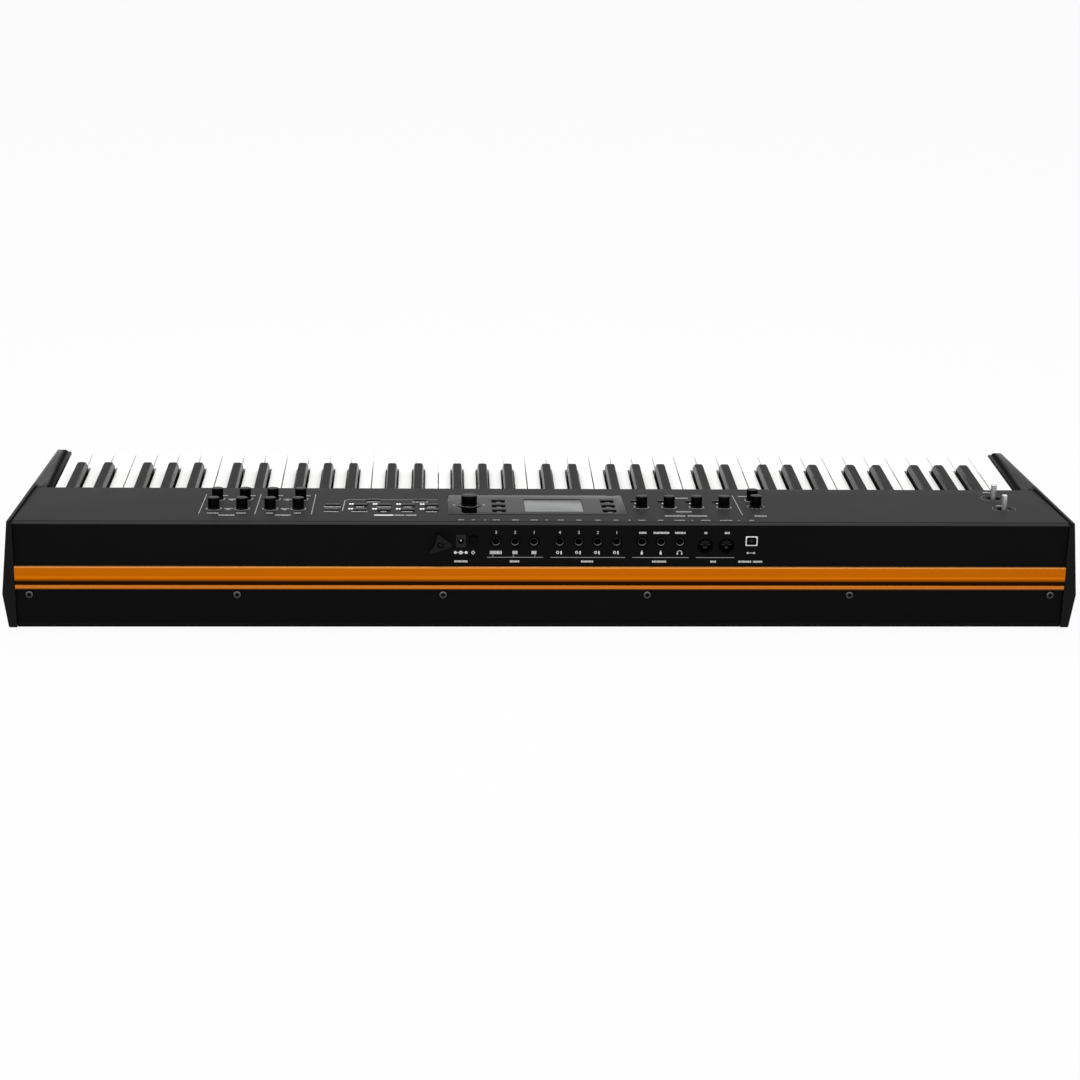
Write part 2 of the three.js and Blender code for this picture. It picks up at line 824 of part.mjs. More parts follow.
function makeKeyboard() {
  const members = Object.fromEntries(notes.map((note) => [note, []]));
  const slotHalf = blackBaseWidth / 2 + slotClearance;
  const blackCentre = (note, joint) => joint + blackShifts[note];
  const barY = (note) => -pivotBack - barFirst - notes.indexOf(note) * barPitch;
  const barTop = tailBottom - barDrop;
  const post = (note, x) =>
    block(
      [x - postWide / 2, barY(note) - barWide / 2, barTop - barTall / 2],
      [x + postWide / 2, barY(note) + barWide / 2, tailBottom + tailDeep / 2],
    );
  for (let i = 0; i < whiteKeyCount; i++) {
    const note = whiteNotes[(lowestNote + i) % whiteNotes.length];
    const left = -keyboardHalf + i * keyPitch;
    const right = left + keyPitch;
    const below = notes[notes.indexOf(note) - 1];
    const above = notes[notes.indexOf(note) + 1];
    const slotBelow = i > 0 && below in blackShifts;
    const slotAbove = i + 1 < whiteKeyCount && above in blackShifts;
    const tailLeft = slotBelow ? blackCentre(below, left) + slotHalf : left + keyGap / 2;
    const tailRight = slotAbove ? blackCentre(above, right) - slotHalf : right - keyGap / 2;
    const notch = -panelDepth - blackFront - slotClearance;
    const capEnd = -panelDepth - gap;
    const plan = [
      [left + keyGap / 2, -keyFront],
      [right - keyGap / 2, -keyFront],
      [right - keyGap / 2, notch],
      [tailRight, notch],
      [tailRight, capEnd],
      [tailLeft, capEnd],
      [tailLeft, notch],
      [left + keyGap / 2, notch],
    ].filter(([x, y], k, all) => {
      const [nextX, nextY] = all[(k + 1) % all.length];
      return x !== nextX || y !== nextY;
    });
    const head = alongZ(plan, whiteBottom, whiteTop);
    const tail = block(
      [tailLeft, capEnd - tailLap, tailBottom],
      [tailRight, -pivotBack + pivotWide, tailTop],
    );
    members[note].push({ x: (tailLeft + tailRight) / 2, shape: union([head, tail]) });
    if (slotAbove) {
      members[above].push(makeBlackKey(blackCentre(above, right)));
    }
  }
  for (const note of notes) {
    const group = members[note];
    const ends = group.map(({ x }) => x);
    const bar = block(
      [Math.min(...ends) - postWide / 2, barY(note) - barWide / 2, barTop - barTall],
      [Math.max(...ends) + postWide / 2, barY(note) + barWide / 2, barTop],
    );
    const posts = group.map(({ x }) => post(note, x));
    const finish = note in blackShifts ? "ebony" : "ivory";
    piece(`keys_${note}`, finish, union([bar, ...posts, ...group.map(({ shape }) => shape)]));
  }
}

function makeBlackKey(x) {
  const front = -panelDepth - blackFront;
  const back = -panelDepth - lipClearance;
  const top = whiteTop + blackRise;
  const [wide, narrow] = [blackBaseWidth / 2, blackTopWidth / 2];
  const capBody = loft([
    {
      y: front,
      points: [
        [x - wide, tailBottom],
        [x + wide, tailBottom],
        [x + wide, whiteTop],
        [x + wide, whiteTop],
        [x - wide, whiteTop],
        [x - wide, whiteTop],
      ],
    },
    {
      y: front + blackFrontRun,
      points: [
        [x - wide, tailBottom],
        [x + wide, tailBottom],
        [x + wide, whiteTop],
        [x + narrow, top],
        [x - narrow, top],
        [x - wide, whiteTop],
      ],
    },
    {
      y: back,
      points: [
        [x - wide, tailBottom],
        [x + wide, tailBottom],
        [x + wide, whiteTop],
        [x + narrow, top],
        [x - narrow, top],
        [x - wide, whiteTop],
      ],
    },
  ]);
  const tail = block(
    [x - wide, back - tailLap, tailBottom],
    [x + wide, -pivotBack + pivotWide, tailTop],
  );
  return { x, shape: union([capBody, tail]) };
}

// Glossy display surround with its window, its button holes and the dial's collar
function makeDisplay() {
  const plate = cap(bezelX, bezelAlong, bezelWide, bezelLong, underBezel, bezelProud);
  const flange = cap(bezelX, bezelAlong, bezelWide, bezelLong, underBezel, underPanel, bezelFlangeReach);
  const collar = disc(dialX, -dialAlong, 0, bezelProud + collarTall, collarRadius, roundSides);
  const collarHollow = disc(dialX, -dialAlong, bezelProud, overrun, collarInner, roundSides);
  const high = bezelProud + collarTall + overrun;
  const low = underBezel - overrun;
  const holes = [
    collarHollow,
    disc(dialX, -dialAlong, low, high, bushRadius + gap),
    cap(windowX, windowAlong, windowWide, windowLong, low, high),
    ...[softRightX, softLeftX].flatMap((x) =>
      rows.map((along) => cap(x, along, capWide, capLong, low, high, capClearance)),
    ),
  ];
  piece("display_bezel", "gloss", cut(union([plate, flange, collar]), holes), panelFrame);
  const glassBottom = underBezel - moduleDeep / 2;
  const glass = cap(windowX, windowAlong, windowWide, windowLong, glassBottom, -windowSunk, -gap);
  const module = cap(
    windowX,
    windowAlong,
    windowWide,
    windowLong,
    underBezel - gap - moduleDeep,
    underBezel - gap,
    moduleReach,
  );
  piece("display_module", "glass", union([glass, module]), panelFrame);
}

// Button caps of one moulding stand on a common web under the panel
function makeButtons(name, caps, webs, under) {
  const top = under === underBezel ? bezelProud + capProud : capProud;
  const webTop = under - gap;
  const shapes = caps.map(({ x, along, wide = capWide, long = capLong }) =>
    cap(x, along, wide, long, webTop - webThick, top),
  );
  const bars = webs.map(([x0, x1, along0, along1]) =>
    block(
      [x0 - webWide / 2, -along1 - webWide / 2, webTop - webThick],
      [x1 + webWide / 2, -along0 + webWide / 2, webTop],
    ),
  );
  piece(name, "cap", union([...shapes, ...bars]), panelFrame);
}

function makeAllButtons() {
  const firstX = gridXs[0];
  const lastX = gridXs[gridColumns - 1];
  const zoneCapXs = zoneXs.map((x) => x + zoneButtonShift);
  const under = -sheet;
  makeButtons(
    "select_buttons_near",
    gridXs.map((x) => ({ x, along: rows[0] })),
    [[firstX, lastX, rows[0], rows[0]]],
    under,
  );
  makeButtons(
    "select_buttons_far",
    [...gridXs.map((x) => ({ x, along: rows[1] })), ...bankXs.map((x) => ({ x, along: rows[2] }))],
    [
      [firstX, lastX, rows[1], rows[1]],
      [bankXs[0], bankXs[0], rows[1], rows[2]],
      [bankXs[1], bankXs[1], rows[1], rows[2]],
    ],
    under,
  );
  makeButtons(
    "part_buttons",
    rows.slice(0, 2).map((along) => ({ x: pairX, along })),
    [[pairX, pairX, rows[0], rows[1]]],
    under,
  );
  makeButtons(
    "zone_buttons",
    zoneCapXs.map((x) => ({ x, along: zoneButtonAlong, wide: zoneCapWide, long: zoneCapLong })),
    [[zoneCapXs[zoneCount - 1], zoneCapXs[0], zoneButtonAlong, zoneButtonAlong]],
    under,
  );
  const soft = { soft_buttons_right: softRightX, soft_buttons_left: softLeftX };
  for (const [name, x] of Object.entries(soft)) {
    makeButtons(
      name,
      rows.map((along) => ({ x, along })),
      [[x, x, rows[0], rows[rowCount - 1]]],
      underBezel,
    );
  }
}

// A knob turns on its shaft a little above the panel
function knobProfile(radius, tall, rim) {
  const bore = shaftRadius + gap;
  return [
    [bore, 0],
    [rim, 0],
    [rim, knobRimTall],
    [radius, knobRimTall],
    [radius - knobTaper, tall - knobEdge],
    [radius - knobTaper - knobEdge, tall],
    [0, tall],
    [0, shaftInKnob + gap],
    [bore, shaftInKnob + gap],
    [bore, 0],
  ];
}

function makeKnobs() {
  for (const { name, x, along, rim = knobRim } of knobs) {
    const shape = turned(knobProfile(knobRadius, knobTall - knobLift, rim), roundSides);
    piece(name, "knob", shape, panelFrame).position.set(x, -along, knobLift);
  }
  const lift = bezelProud + dialPush + gap;
  const dial = turned(knobProfile(dialRadius, dialTall - lift, dialRadius + knobEdge / 2), roundSides);
  piece("dial_knob", "knob", dial, panelFrame).position.set(dialX, -dialAlong, lift);
  const shaft = disc(0, 0, potTop + bushTall - potTall / 2, lift + shaftInKnob, shaftRadius, smallSides);
  piece("dial_shaft", "bright", shaft, panelFrame).position.set(dialX, -dialAlong, 0);
}

// Circuit board that carries the potentiometers, hung from the panel on standoffs
function makeControlBoard() {
  const board = block([boardLeft, -boardFar, boardTop - boardThick], [boardRight, -boardNear, boardTop]);
  const sunk = boardTop - boardThick / 2;
  const pots = knobs.flatMap(({ x, along }) => [
    cap(x, along, potSize, potSize, sunk, potTop),
    disc(x, -along, potTop - potTall / 2, knobLift + shaftInKnob, shaftRadius, shaftSides),
  ]);
  const dial = [
    cap(dialX, dialAlong, potSize, potSize, sunk, potTop),
    disc(dialX, -dialAlong, sunk, potTop + bushTall, bushRadius, smallSides),
  ];
  const posts = [boardLeft + standoffInset, standoffMiddleX, boardRight - standoffInset].flatMap((x) =>
    [standoffNear, standoffFar].map((along) =>
      disc(x, -along, sunk, underPanel, standoffRadius, shaftSides),
    ),
  );
  const bore = disc(
    dialX,
    -dialAlong,
    potTop + bushTall - potTall / 2 - dialPush - gap,
    potTop + bushTall + overrun,
    shaftRadius + gap,
    smallSides,
  );
  piece("control_board", "board", cut(union([board, ...pots, ...dial, ...posts]), [bore]), panelFrame);
}

// Joysticks: a stick that leans sideways in a yoke, which leans fore and aft between two ears
function makeJoysticks() {
  const pivot = -stickPivotDeep;
  const earInner = gimbalWide + gap;
  const earOuter = earInner + podEar;
  const floorZ = pivot - podFloor;
  const first = stickAlongs[0];
  const last = stickAlongs[1];
  const podParts = stickAlongs.flatMap((along) => {
    const plate = block(
      [stickX - earOuter, -along - podSide, floorZ - podBase],
      [stickX + earOuter, -along + podSide, floorZ],
    );
    const ears = [-1, 1].map((side) => {
      const [near, far] = [side * earInner, side * earOuter].sort((a, b) => a - b);
      return block(
        [stickX + near, -along - gimbalLong, floorZ - podBase / 2],
        [stickX + far, -along + gimbalLong, pivot + podEarRise],
      );
    });
    return [plate, ...ears];
  });
  const board = block(
    [stickX - earOuter, -last - stickBoardInset, floorZ - podBase - boardThick],
    [stickX + earOuter, -first + stickBoardInset, floorZ - podBase + gap],
  );
  const postReach = stickBoardInset - standoffRadius;
  const posts = [-first + postReach, -last - postReach].map((y) =>
    disc(stickX, y, floorZ - podBase - boardThick / 2, underPanel, standoffRadius, shaftSides),
  );
  piece("joystick_board", "board", union([board, ...podParts, ...posts]), panelFrame);
  stickAlongs.forEach((along, i) => {
    const yoke = cut(block([-gimbalWide, -gimbalLong, -gimbalTall], [gimbalWide, gimbalLong, gimbalTall]), [
      block(
        [-gimbalSlot, -stickTab - gap, -gimbalTall - overrun],
        [gimbalSlot, stickTab + gap, gimbalTall + overrun],
      ),
    ]);
    piece(`joystick_yoke_${i + 1}`, "bright", yoke, panelFrame).position.set(stickX, -along, pivot);
    const tip = stickPivotDeep + stickProud;
    const pin = turned(
      [
        [0, stickPinStart],
        [stickRadius, stickPinStart],
        [stickRadius, tip - stickCrown],
        [stickRadius - stickCrown, tip],
        [0, tip],
      ],
      smallSides,
    );
    const tab = rearDisc(0, 0, stickTab, -stickTab, stickDisc, smallSides);
    const neck = block([-stickNeck, -stickTab, 0], [stickNeck, stickTab, stickPinStart + stickCrown]);
    const stick = piece(`joystick_${i + 1}`, "chrome", union([pin, tab, neck]), panelFrame);
    stick.position.set(stickX, -along, pivot);
  });
}

// Ten phone jacks soldered to one upright board behind the rear wall
function makeJacks() {
  const inner = -sheet - gap;
  const jackEnd = -jackBodyDeep;
  const jack = turned(
    [
      [0, jackEnd],
      [jackBody, jackEnd],
      [jackBody, inner],
      [jackBush, inner],
      [jackBush, gap],
      [jackFlange, gap],
      [jackFlange, gap + jackFlangeThick],
      [jackMouth, gap + jackFlangeThick],
      [jackBore, gap + jackFlangeThick - jackLip],
      [jackBore, gap - jackBoreDeep],
      [0, gap - jackBoreDeep],
    ],
    smallSides,
  );
  const upright = geometryOf(jack).rotateX(-Math.PI / 2);
  const jacks = jackXs.map((x) => solid(upright.clone().translate(x, 0, jackHeight)));
  const board = block(
    [Math.min(...jackXs) - jackBoardReach, jackEnd - boardThick / 2, jackHeight - jackBoardTall / 2],
    [Math.max(...jackXs) + jackBoardReach, jackEnd + boardThick / 2, jackHeight + jackBoardTall / 2],
  );
  piece("jack_board", "socket", union([board, ...jacks]));
}

// Two round sockets in one housing
function makeMidiSockets() {
  const inner = -sheet - gap;
  const housing = block(
    [midiXs[1] - midiBodySide, inner - midiBodyDeep, midiHeight - midiBodySide],
    [midiXs[0] + midiBodySide, inner, midiHeight + midiBodySide],
  );
  const necks = midiXs.map((x) => rearDisc(x, midiHeight, 0, inner - gap, midiRadius, roundSides));
  const cups = midiXs.map((x) =>
    rearDisc(x, midiHeight, overrun, -midiCupDeep, midiCup, roundSides),
  );
  piece("midi_sockets", "socket", cut(union([housing, ...necks]), cups));
}

// A rectangular socket that fills its window in the rear wall, behind a body that is a little larger
function makeFlushSocket(name, finish, { x, height, wide, tall, deep, proud, tools, extra = [] }) {
  const inner = -sheet - gap;
  const shoulder = block(
    [x - wide / 2 - sheet, inner - deep, height - tall / 2 - sheet],
    [x + wide / 2 + sheet, inner, height + tall / 2 + sheet],
  );
  const face = block(
    [x - wide / 2, inner - gap, height - tall / 2],
    [x + wide / 2, proud, height + tall / 2],
  );
  piece(name, finish, union([cut(union([shoulder, face]), tools), ...extra]));
}

function makeUsbAndInlet() {
  makeFlushSocket("usb_socket", "tin", {
    x: usbX,
    height: usbHeight,
    wide: usbWide,
    tall: usbTall,
    deep: usbBodyDeep,
    proud: gap,
    tools: [
      block(
        [usbX - usbMouthWide / 2, -usbMouthDeep, usbHeight - usbMouthTall / 2],
        [usbX + usbMouthWide / 2, overrun, usbHeight + usbMouthTall / 2],
      ),
    ],
  });
  const boreEnd = -inletBoreDeep;
  makeFlushSocket("power_inlet", "socket", {
    x: inletX,
    height: inletHeight,
    wide: inletWide,
    tall: inletTall,
    deep: inletBodyDeep,
    proud: gap,
    tools: [rearDisc(inletX, inletHeight, overrun, boreEnd, inletBore, smallSides)],
    extra: [rearDisc(inletX, inletHeight, -inletPinShort, boreEnd - sheet, inletPin, shaftSides)],
  });
}

// Push button for the power: its flange stays behind the wall
function makePowerSwitch() {
  const inner = -sheet - gap;
  const button = block(
    [switchX - switchWide / 2, inner - gap, switchHeight - switchTall / 2],
    [switchX + switchWide / 2, switchProud, switchHeight + switchTall / 2],
  );
  const flange = block(
    [switchX - switchWide / 2, inner - switchFlangeThick, switchHeight - switchTall / 2 - switchFlange],
    [switchX + switchWide / 2, inner, switchHeight + switchTall / 2 + switchFlange],
  );
  piece("power_switch", "knob", union([button, flange]));
}

// Cord hook: a three-cornered plate that stands off the rear wall on a boss
function makeCordHook() {
  const plateFront = gap + hookStandOff;
  const plate = alongY(
    [
      [hookUpX, hookUpHeight, hookCorner],
      [hookInX, hookInHeight, hookCorner],
      [hookOutX, hookOutHeight, hookCorner],
    ],
    plateFront + hookPlate,
    plateFront,
  );
  const boss = rearDisc(hookX, hookHeight, plateFront + hookPlate / 2, gap, hookBoss, smallSides);
  const nutFace = -sheet - gap;
  const nutMiddle = nutFace - hookNutThick / 2;
  const screw = rearDisc(hookX, hookHeight, plateFront / 2, nutMiddle, hookScrew, shaftSides);
  const nut = rearDisc(hookX, hookHeight, nutFace, nutFace - hookNutThick, hookNut, nutSides);
  piece("cord_hook", "socket", union([plate, boss, screw, nut]));
}

makeTray();
makePanel();
makeRail();
makeCheek("cheek_right", 1);
makeCheek("cheek_left", -1);
makeKeyFrame();
makeKeyboard();
makeDisplay();
makeAllButtons();
makeKnobs();
makeControlBoard();
makeJoysticks();
makeJacks();
makeMidiSockets();
makeUsbAndInlet();
makePowerSwitch();
makeCordHook();
makeRearScrews();
makeFeet();

export default piano;
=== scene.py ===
"""Visual model of a 73-key stage piano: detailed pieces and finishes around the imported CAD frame."""

import json
import math

import bmesh
import bpy
from bpy.props import FloatProperty, FloatVectorProperty, IntProperty, PointerProperty
from mathutils import Matrix, Vector


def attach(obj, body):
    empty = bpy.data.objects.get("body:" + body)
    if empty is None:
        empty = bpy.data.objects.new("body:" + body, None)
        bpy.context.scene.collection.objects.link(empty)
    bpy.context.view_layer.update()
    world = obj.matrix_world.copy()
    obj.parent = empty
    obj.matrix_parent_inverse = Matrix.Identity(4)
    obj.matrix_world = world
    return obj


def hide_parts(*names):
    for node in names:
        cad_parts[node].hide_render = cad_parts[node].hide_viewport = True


bl_info = {
    "name": "Stage piano",
    "version": (1, 0, 0),
    "blender": (4, 5, 0),
    "location": "3D Viewport > Sidebar > Stage Piano",
    "description": "Builds the pieces and finishes of a 73-key stage piano on its CAD frame",
    "category": "Add Mesh",
}

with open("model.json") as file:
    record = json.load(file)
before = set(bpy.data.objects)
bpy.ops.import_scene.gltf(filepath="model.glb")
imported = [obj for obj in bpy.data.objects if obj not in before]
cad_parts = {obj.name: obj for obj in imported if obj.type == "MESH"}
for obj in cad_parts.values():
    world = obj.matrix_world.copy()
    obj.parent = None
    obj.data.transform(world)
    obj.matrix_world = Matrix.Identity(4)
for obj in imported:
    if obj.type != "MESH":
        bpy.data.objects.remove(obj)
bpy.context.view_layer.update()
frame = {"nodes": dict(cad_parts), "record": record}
BODIES = frame["record"]["behaviour"]["bodies"]
BODY_OF = {node: body for body, nodes in BODIES.items() for node in nodes}
SLOT_OF = {part["node"]: part["material_slot"] for part in frame["record"]["subparts"]}

# Millimetres below are in the case's frame: rear face at y 0, underside at z 0, bass end at -x
MM = 0.001
WELD = 0.002
GAP = 0.3
SHEET = 1.5
CASE_HALF = 516
CASE_HEIGHT = 108.5
CASE_DEPTH = 295.5
PANEL_DEPTH = 140
PANEL_FALL = 14.87
PANEL_LIP = 82.4
WALL_JOINT = 50
FRONT_WALL = 57
# How deep and how high the tools reach that cut openings in a sheet, and where printed marks start
CUT = (-4, 3)
BEZEL_CUT = (-6, 3)
INK_FOOT = 0.005
# Level behind a sheet at which other pieces start, clear of it
CLEAR = -1.8
WHITE = (1, 1, 1, 1)

# Keyboard
WHITE_COUNT = 43
KEY_PITCH = 23.5
KEY_GAP = 0.9
KEYBOARD_HALF = 505.25
KEY_FRONT = -290
NOTCH = -241
KEY_BACK = -140.3
WHITE_TOP = 79.9
WHITE_BOTTOM = 59.9
TAIL_TOP = 77
TAIL_BOTTOM = 65
TAIL_BACK = -46
BLACK_TOP = 91.5
BLACK_FRONT = -240
BLACK_RUN = 13
BLACK_BACK = -141.2
BLACK_BASE = 10.8
BLACK_WIDE = 8.9
BLACK_SHOULDER = 83.5
SLOT_HALF = 7
# Heights of the posts under the tails and of the bars that join them, and where the bars lie along y
POST, BAR = (52, 71), (50, 54)
BAR_FIRST, BAR_STEP = -64, 6
NOTES = ["c", "c_sharp", "d", "d_sharp", "e", "f", "f_sharp", "g", "g_sharp", "a", "a_sharp", "b"]
NATURALS = ["c", "d", "e", "f", "g", "a", "b"]
SHARP_SHIFT = {"c_sharp": -2.33, "d_sharp": 2.33, "f_sharp": -3.5, "g_sharp": 0, "a_sharp": 3.5}

# Panel places as x and distance along the slope from the rear bend
EFFECT_XS = [244.3 + 27.8 * i for i in range(4)]
ZONE_XS = [-98 - 27.7 * i for i in range(4)]
MASTER_X = -213.6
KNOBS = {
    **{f"effect_knob_near_{i + 1}": (x, 51.5) for i, x in enumerate(EFFECT_XS)},
    **{f"effect_knob_far_{i + 1}": (x, 91.5) for i, x in enumerate(EFFECT_XS)},
    **{f"zone_knob_{i + 1}": (x, 62) for i, x in enumerate(ZONE_XS)},
    "volume_knob": (MASTER_X, 65),
    "input_level_knob": (MASTER_X, 91.5),
}
DIAL = (74.9, 66)
BEZEL = (7.3, 69.2, 176.8, 80.3)
WINDOW = (-9.7, 66.9, 58.8, 51.8)
ROWS = [46.4, 66.4, 86.4]
GRID_XS = [112.4 + 23.6 * i for i in range(4)]
BANK_XS = [124.2, 171.4]
PAIR_X = 211
CAP, ZONE_CAP = (13.4, 8), (7.4, 5)
ZONE_ALONG = 84.5
SOFT_XS = {"soft_buttons_right": 45.4, "soft_buttons_left": -64.6}
ZONE_BUTTONS = [(x + 5.2, ZONE_ALONG) for x in ZONE_XS]
STICKS = {"joystick_1": (-465.2, 58), "joystick_2": (-465.2, 103.3)}

# Printed rows on the panel, as middle x, along, width and height
BIG_LABELS = [(159.2, 26.1, 18.8, 4.2)]
PANEL_LABELS = [
    (327, 32.8, 11.2, 2.2), (299.4, 33, 9.4, 2.2), (271.6, 33.3, 6.4, 2.2), (244.2, 33.6, 6.6, 2.2),
    (313.2, 24.9, 16, 2.4), (258, 25.4, 14.8, 2.4),
    (313.4, 51.2, 8.8, 2), (313.4, 47.4, 3.4, 2), (257.8, 51.2, 8.8, 2), (257.8, 47.4, 3.4, 2),
    (313.2, 90.4, 7.6, 2), (313.2, 86.6, 3.4, 2), (257.6, 90.4, 7.6, 2), (257.6, 86.6, 3.4, 2),
    (326.7, 105.9, 15.6, 2), (298.9, 105.9, 15.6, 2), (271.1, 105.9, 15.6, 2), (243.3, 105.9, 15.6, 2),
    (183.5, 40.4, 15.4, 2), (159.8, 40.4, 5.6, 2), (136.5, 40.4, 10.2, 2), (113, 40.4, 11, 2),
    (211.4, 40.4, 14.2, 2), (211.4, 59.4, 16.8, 2.4),
    (183.7, 59.4, 7.8, 2.2), (160.1, 59.4, 13.8, 2.2), (136.3, 59.4, 7.8, 2.2), (112.4, 59.4, 8.2, 2.2),
    (171.4, 80.4, 13.4, 2.2), (124.3, 80.4, 16, 2.2),
    (144.2, 26.1, 9.8, 2.6), (132.5, 26.1, 10.2, 2.6),
    (-141.6, 99.9, 13.8, 2.2), (-138.4, 42.7, 16, 2.4), (-127.9, 25.4, 20.2, 2.6), (-150.2, 25.7, 19.4, 2.6),
    (-213.2, 26.2, 12, 2.6), (-205.6, 108.1, 9.4, 2), (-464.3, 128.4, 8, 2), (-463, 71.1, 5.8, 2),
    (89.4, 84.6, 4.4, 1.2),
]
REAR_EDGE_LABELS = [
    (83.6, 5.7), (71.4, 2.9), (60.2, 1.5), (49.3, 7.2), (30.3, 6.6), (12.2, 7.2), (0, 1.8),
    (-13.8, 5.7), (-31.5, 5.1), (-50.2, 5.1), (-68.3, 4.8), (-81.5, 1.8), (-93.6, 7.3), (-112, 5),
    (-130.9, 10), (-143.2, 1.2), (-156.5, 9), (-176.7, 11.8), (-189.1, 1.5), (-201.9, 4.8),
]
SEPARATORS = [(340.5, 30, 111), (285.6, 29, 112), (230.2, 29, 112), (-195.8, 30, 112)]
# First and last degree of the scale round a knob
SCALE_TURN = (-60, 240)

# Rear places as x and height
JACK_HEIGHT = 88.2
JACK_PITCH = 18.6
JACK_ROWS = [(12.1, 3), (-68.8, 4), (-131.1, 3)]
MIDI = [(-156.2, 83.9), (-177.2, 83.9)]
USB = (-201.75, 89, 11.8, 10)
INLET = (83.45, 88.6, 9.7, 13.5)
SWITCH = (71.35, 89.75, 7.1, 7.9)
HOOK = (103.2, 87.3)
REAR_NUMBERS = [(49.3, "3"), (30.7, "2"), (12.1, "1"), (-13, "4"), (-31.6, "3"), (-50.2, "2"), (-68.8, "1")]
REAR_LABELS = [
    (-93.9, 97.5, 7.4, 2.1), (-112.5, 97.5, 15.2, 2.1), (-131.1, 97.5, 10.2, 2.1), (-156.2, 97.5, 2.7, 2.1),
    (-177.2, 97.5, 4.8, 2.1), (83.5, 67.4, 12.8, 2), (31, 67.4, 9.4, 2), (-40.3, 67.4, 11.6, 2),
    (-111.2, 67.4, 13.8, 2), (-164.3, 67.4, 6, 2), (-195.4, 67.4, 13.4, 2), (-208.6, 67.4, 9, 2),
    (49.3, 76.7, 11.4, 3.4), (30.7, 76.7, 4.9, 3.4), (12.1, 76.7, 4.7, 3.4),
]
REAR_LINES = [(57.9, 3.2), (-4.3, -77.6), (-84.6, -140.1), (-147.3, -185.4)]
REAR_STEMS = [52.2, 32.1, 11]
# Heights of the printed rows: socket numbers, symbols, stems and underlines
NUMBERS, SYMBOLS, STEMS, UNDERLINES = 97.6, 76.6, 73.2, 71.7
SCREW_XS = [-502.85 + 201.14 * i for i in range(6)]
SCREW_HEIGHT = 32.55
FEET = {
    "foot_rear_right": (456, -45), "foot_rear_left": (-456, -45),
    "foot_front_right": (456, -250.5), "foot_front_left": (-456, -250.5),
}

CASE = Matrix.Translation((0, 0.1452, 0.008)) @ Matrix.Scale(MM, 4)
SLOPE = math.atan2(PANEL_FALL, PANEL_DEPTH)
PANEL = CASE @ Matrix.Translation((0, 0, CASE_HEIGHT)) @ Matrix.Rotation(SLOPE, 4, "X")
# Turns what is drawn flat so that it faces backwards and reads from behind
BEHIND = Matrix(((-1, 0, 0, 0), (0, 0, 1, 0), (0, 1, 0, 0), (0, 0, 0, 1)))
CAMERA_LENS = {
    "lens": 75.12, "sensor_width": 36, "shift_x": -0.00926, "shift_y": -0.1237,
    "clip_start": 0.05, "clip_end": 100,
}
CAMERA_PLACE = (0.10632, 2.20545, 0.88012)
CAMERA_AXES = (
    (-0.99875901, 0.04585187, 0.01944344),
    (0.00484024, -0.29918843, 0.95418177),
    (0.04956827, 0.95309175, 0.29859521),
)


def colour(label, description, *levels):
    """A colour that a user may change, given by three linear levels or by one for a grey."""
    value = levels if len(levels) == 3 else levels * 3
    return FloatVectorProperty(
        name=label, description=description, default=value, subtype="COLOR", size=3, min=0, max=1
    )


def amount(label, description, value, **unit):
    """A number from zero up that a user may change."""
    return FloatProperty(name=label, description=description, default=value, min=0, **unit)


def length(label, description, value):
    return amount(label, description, value, unit="LENGTH", subtype="DISTANCE")


class PianoSizes(bpy.types.PropertyGroup):
    """Small sizes of the visual pieces. The main sizes come from the CAD frame."""

    white_edge: length("White key edge", "Rounding of the white keys' top edges", 0.0007)
    black_edge: length("Black key edge", "Rounding of the black keys' top edges", 0.0011)
    knob_edge: length("Knob edge", "Rounding round the top of a knob", 0.0002)
    cap_edge: length("Button edge", "Rounding round the top of a button cap", 0.0005)
    bezel_corner: length("Bezel corner", "Corner radius of the display bezel", 0.003)
    print_thick: length("Print thickness", "How far the printed marks stand off the metal", 0.00005)
    dial_ribs: IntProperty(name="Dial ribs", description="Ribs round the dial", default=36, min=8)


class PianoColours(bpy.types.PropertyGroup):
    """Colours of the finishes, as linear values."""

    steel: colour("Case paint", "Fine textured black paint", 0.0052, 0.0052, 0.0054)
    # Grey of the control surface: partly its own paint, partly a painted sheen of the top light on the black
    # paint
    panel: colour("Panel paint", "Dark grey paint and painted sheen of the control surface", 0.05, 0.05, 0.051)
    rail: colour("Rail", "Orange anodised extrusion", 0.585, 0.14, 0.0005)
    rail_edge: colour("Rail edges", "Where the rail's edges catch the light", 0.78, 0.33, 0.08)
    cheek: colour("Cheeks", "Satin black moulding", 0.007, 0.007, 0.0072)
    ivory: colour("White keys", "Glossy white", 0.94, 0.937, 0.925)
    ebony: colour("Black keys", "Satin black", 0.008)
    knob: colour("Knobs", "Soft black plastic", 0.0013)
    cap: colour("Button caps", "Dark plastic", 0.0018)
    bezel: colour("Bezel", "Polished black", 0.0012, 0.0012, 0.0013)
    display: colour("Display", "Unlit display behind its window", 0.2, 0.203, 0.206)
    chrome: colour("Joysticks", "Drawn chrome", 0.75, 0.76, 0.78)
    socket: colour("Sockets", "Black socket plastic", 0.0015)
    insert: colour("Socket inserts", "Lighter guides in the sockets", 0.022)
    # Rings of plating in the jack mouths, whose grey also stands as a painted highlight of the mouths' edges,
    # and rings on the screw faces that are a painted highlight of the heads' edges; both are lighter still
    # where they face up, a painted highlight
    plating: colour("Worn plating", "Dark plating of the jack linings and the screw faces", 0.06, 0.06, 0.061)
    tin: colour("Tin shell", "Tinned socket shell", 0.72, 0.72, 0.71)
    board: colour("Circuit boards", "Solder mask", 0.012, 0.09, 0.035)
    bright: colour("Bright steel", "Zinc-plated steel", 0.5, 0.5, 0.51)
    rubber: colour("Feet", "Black rubber", 0.014)
    white_print: colour("White print", "Screen-printed marks", 0.8)
    label_print: colour("Panel labels", "Small screen-printed labels", 0.55)
    grey_print: colour("Grey print", "Dimmer screen-printed marks", 0.36)
    lamp: colour("Lamps", "Lit button lamps", 1.0)


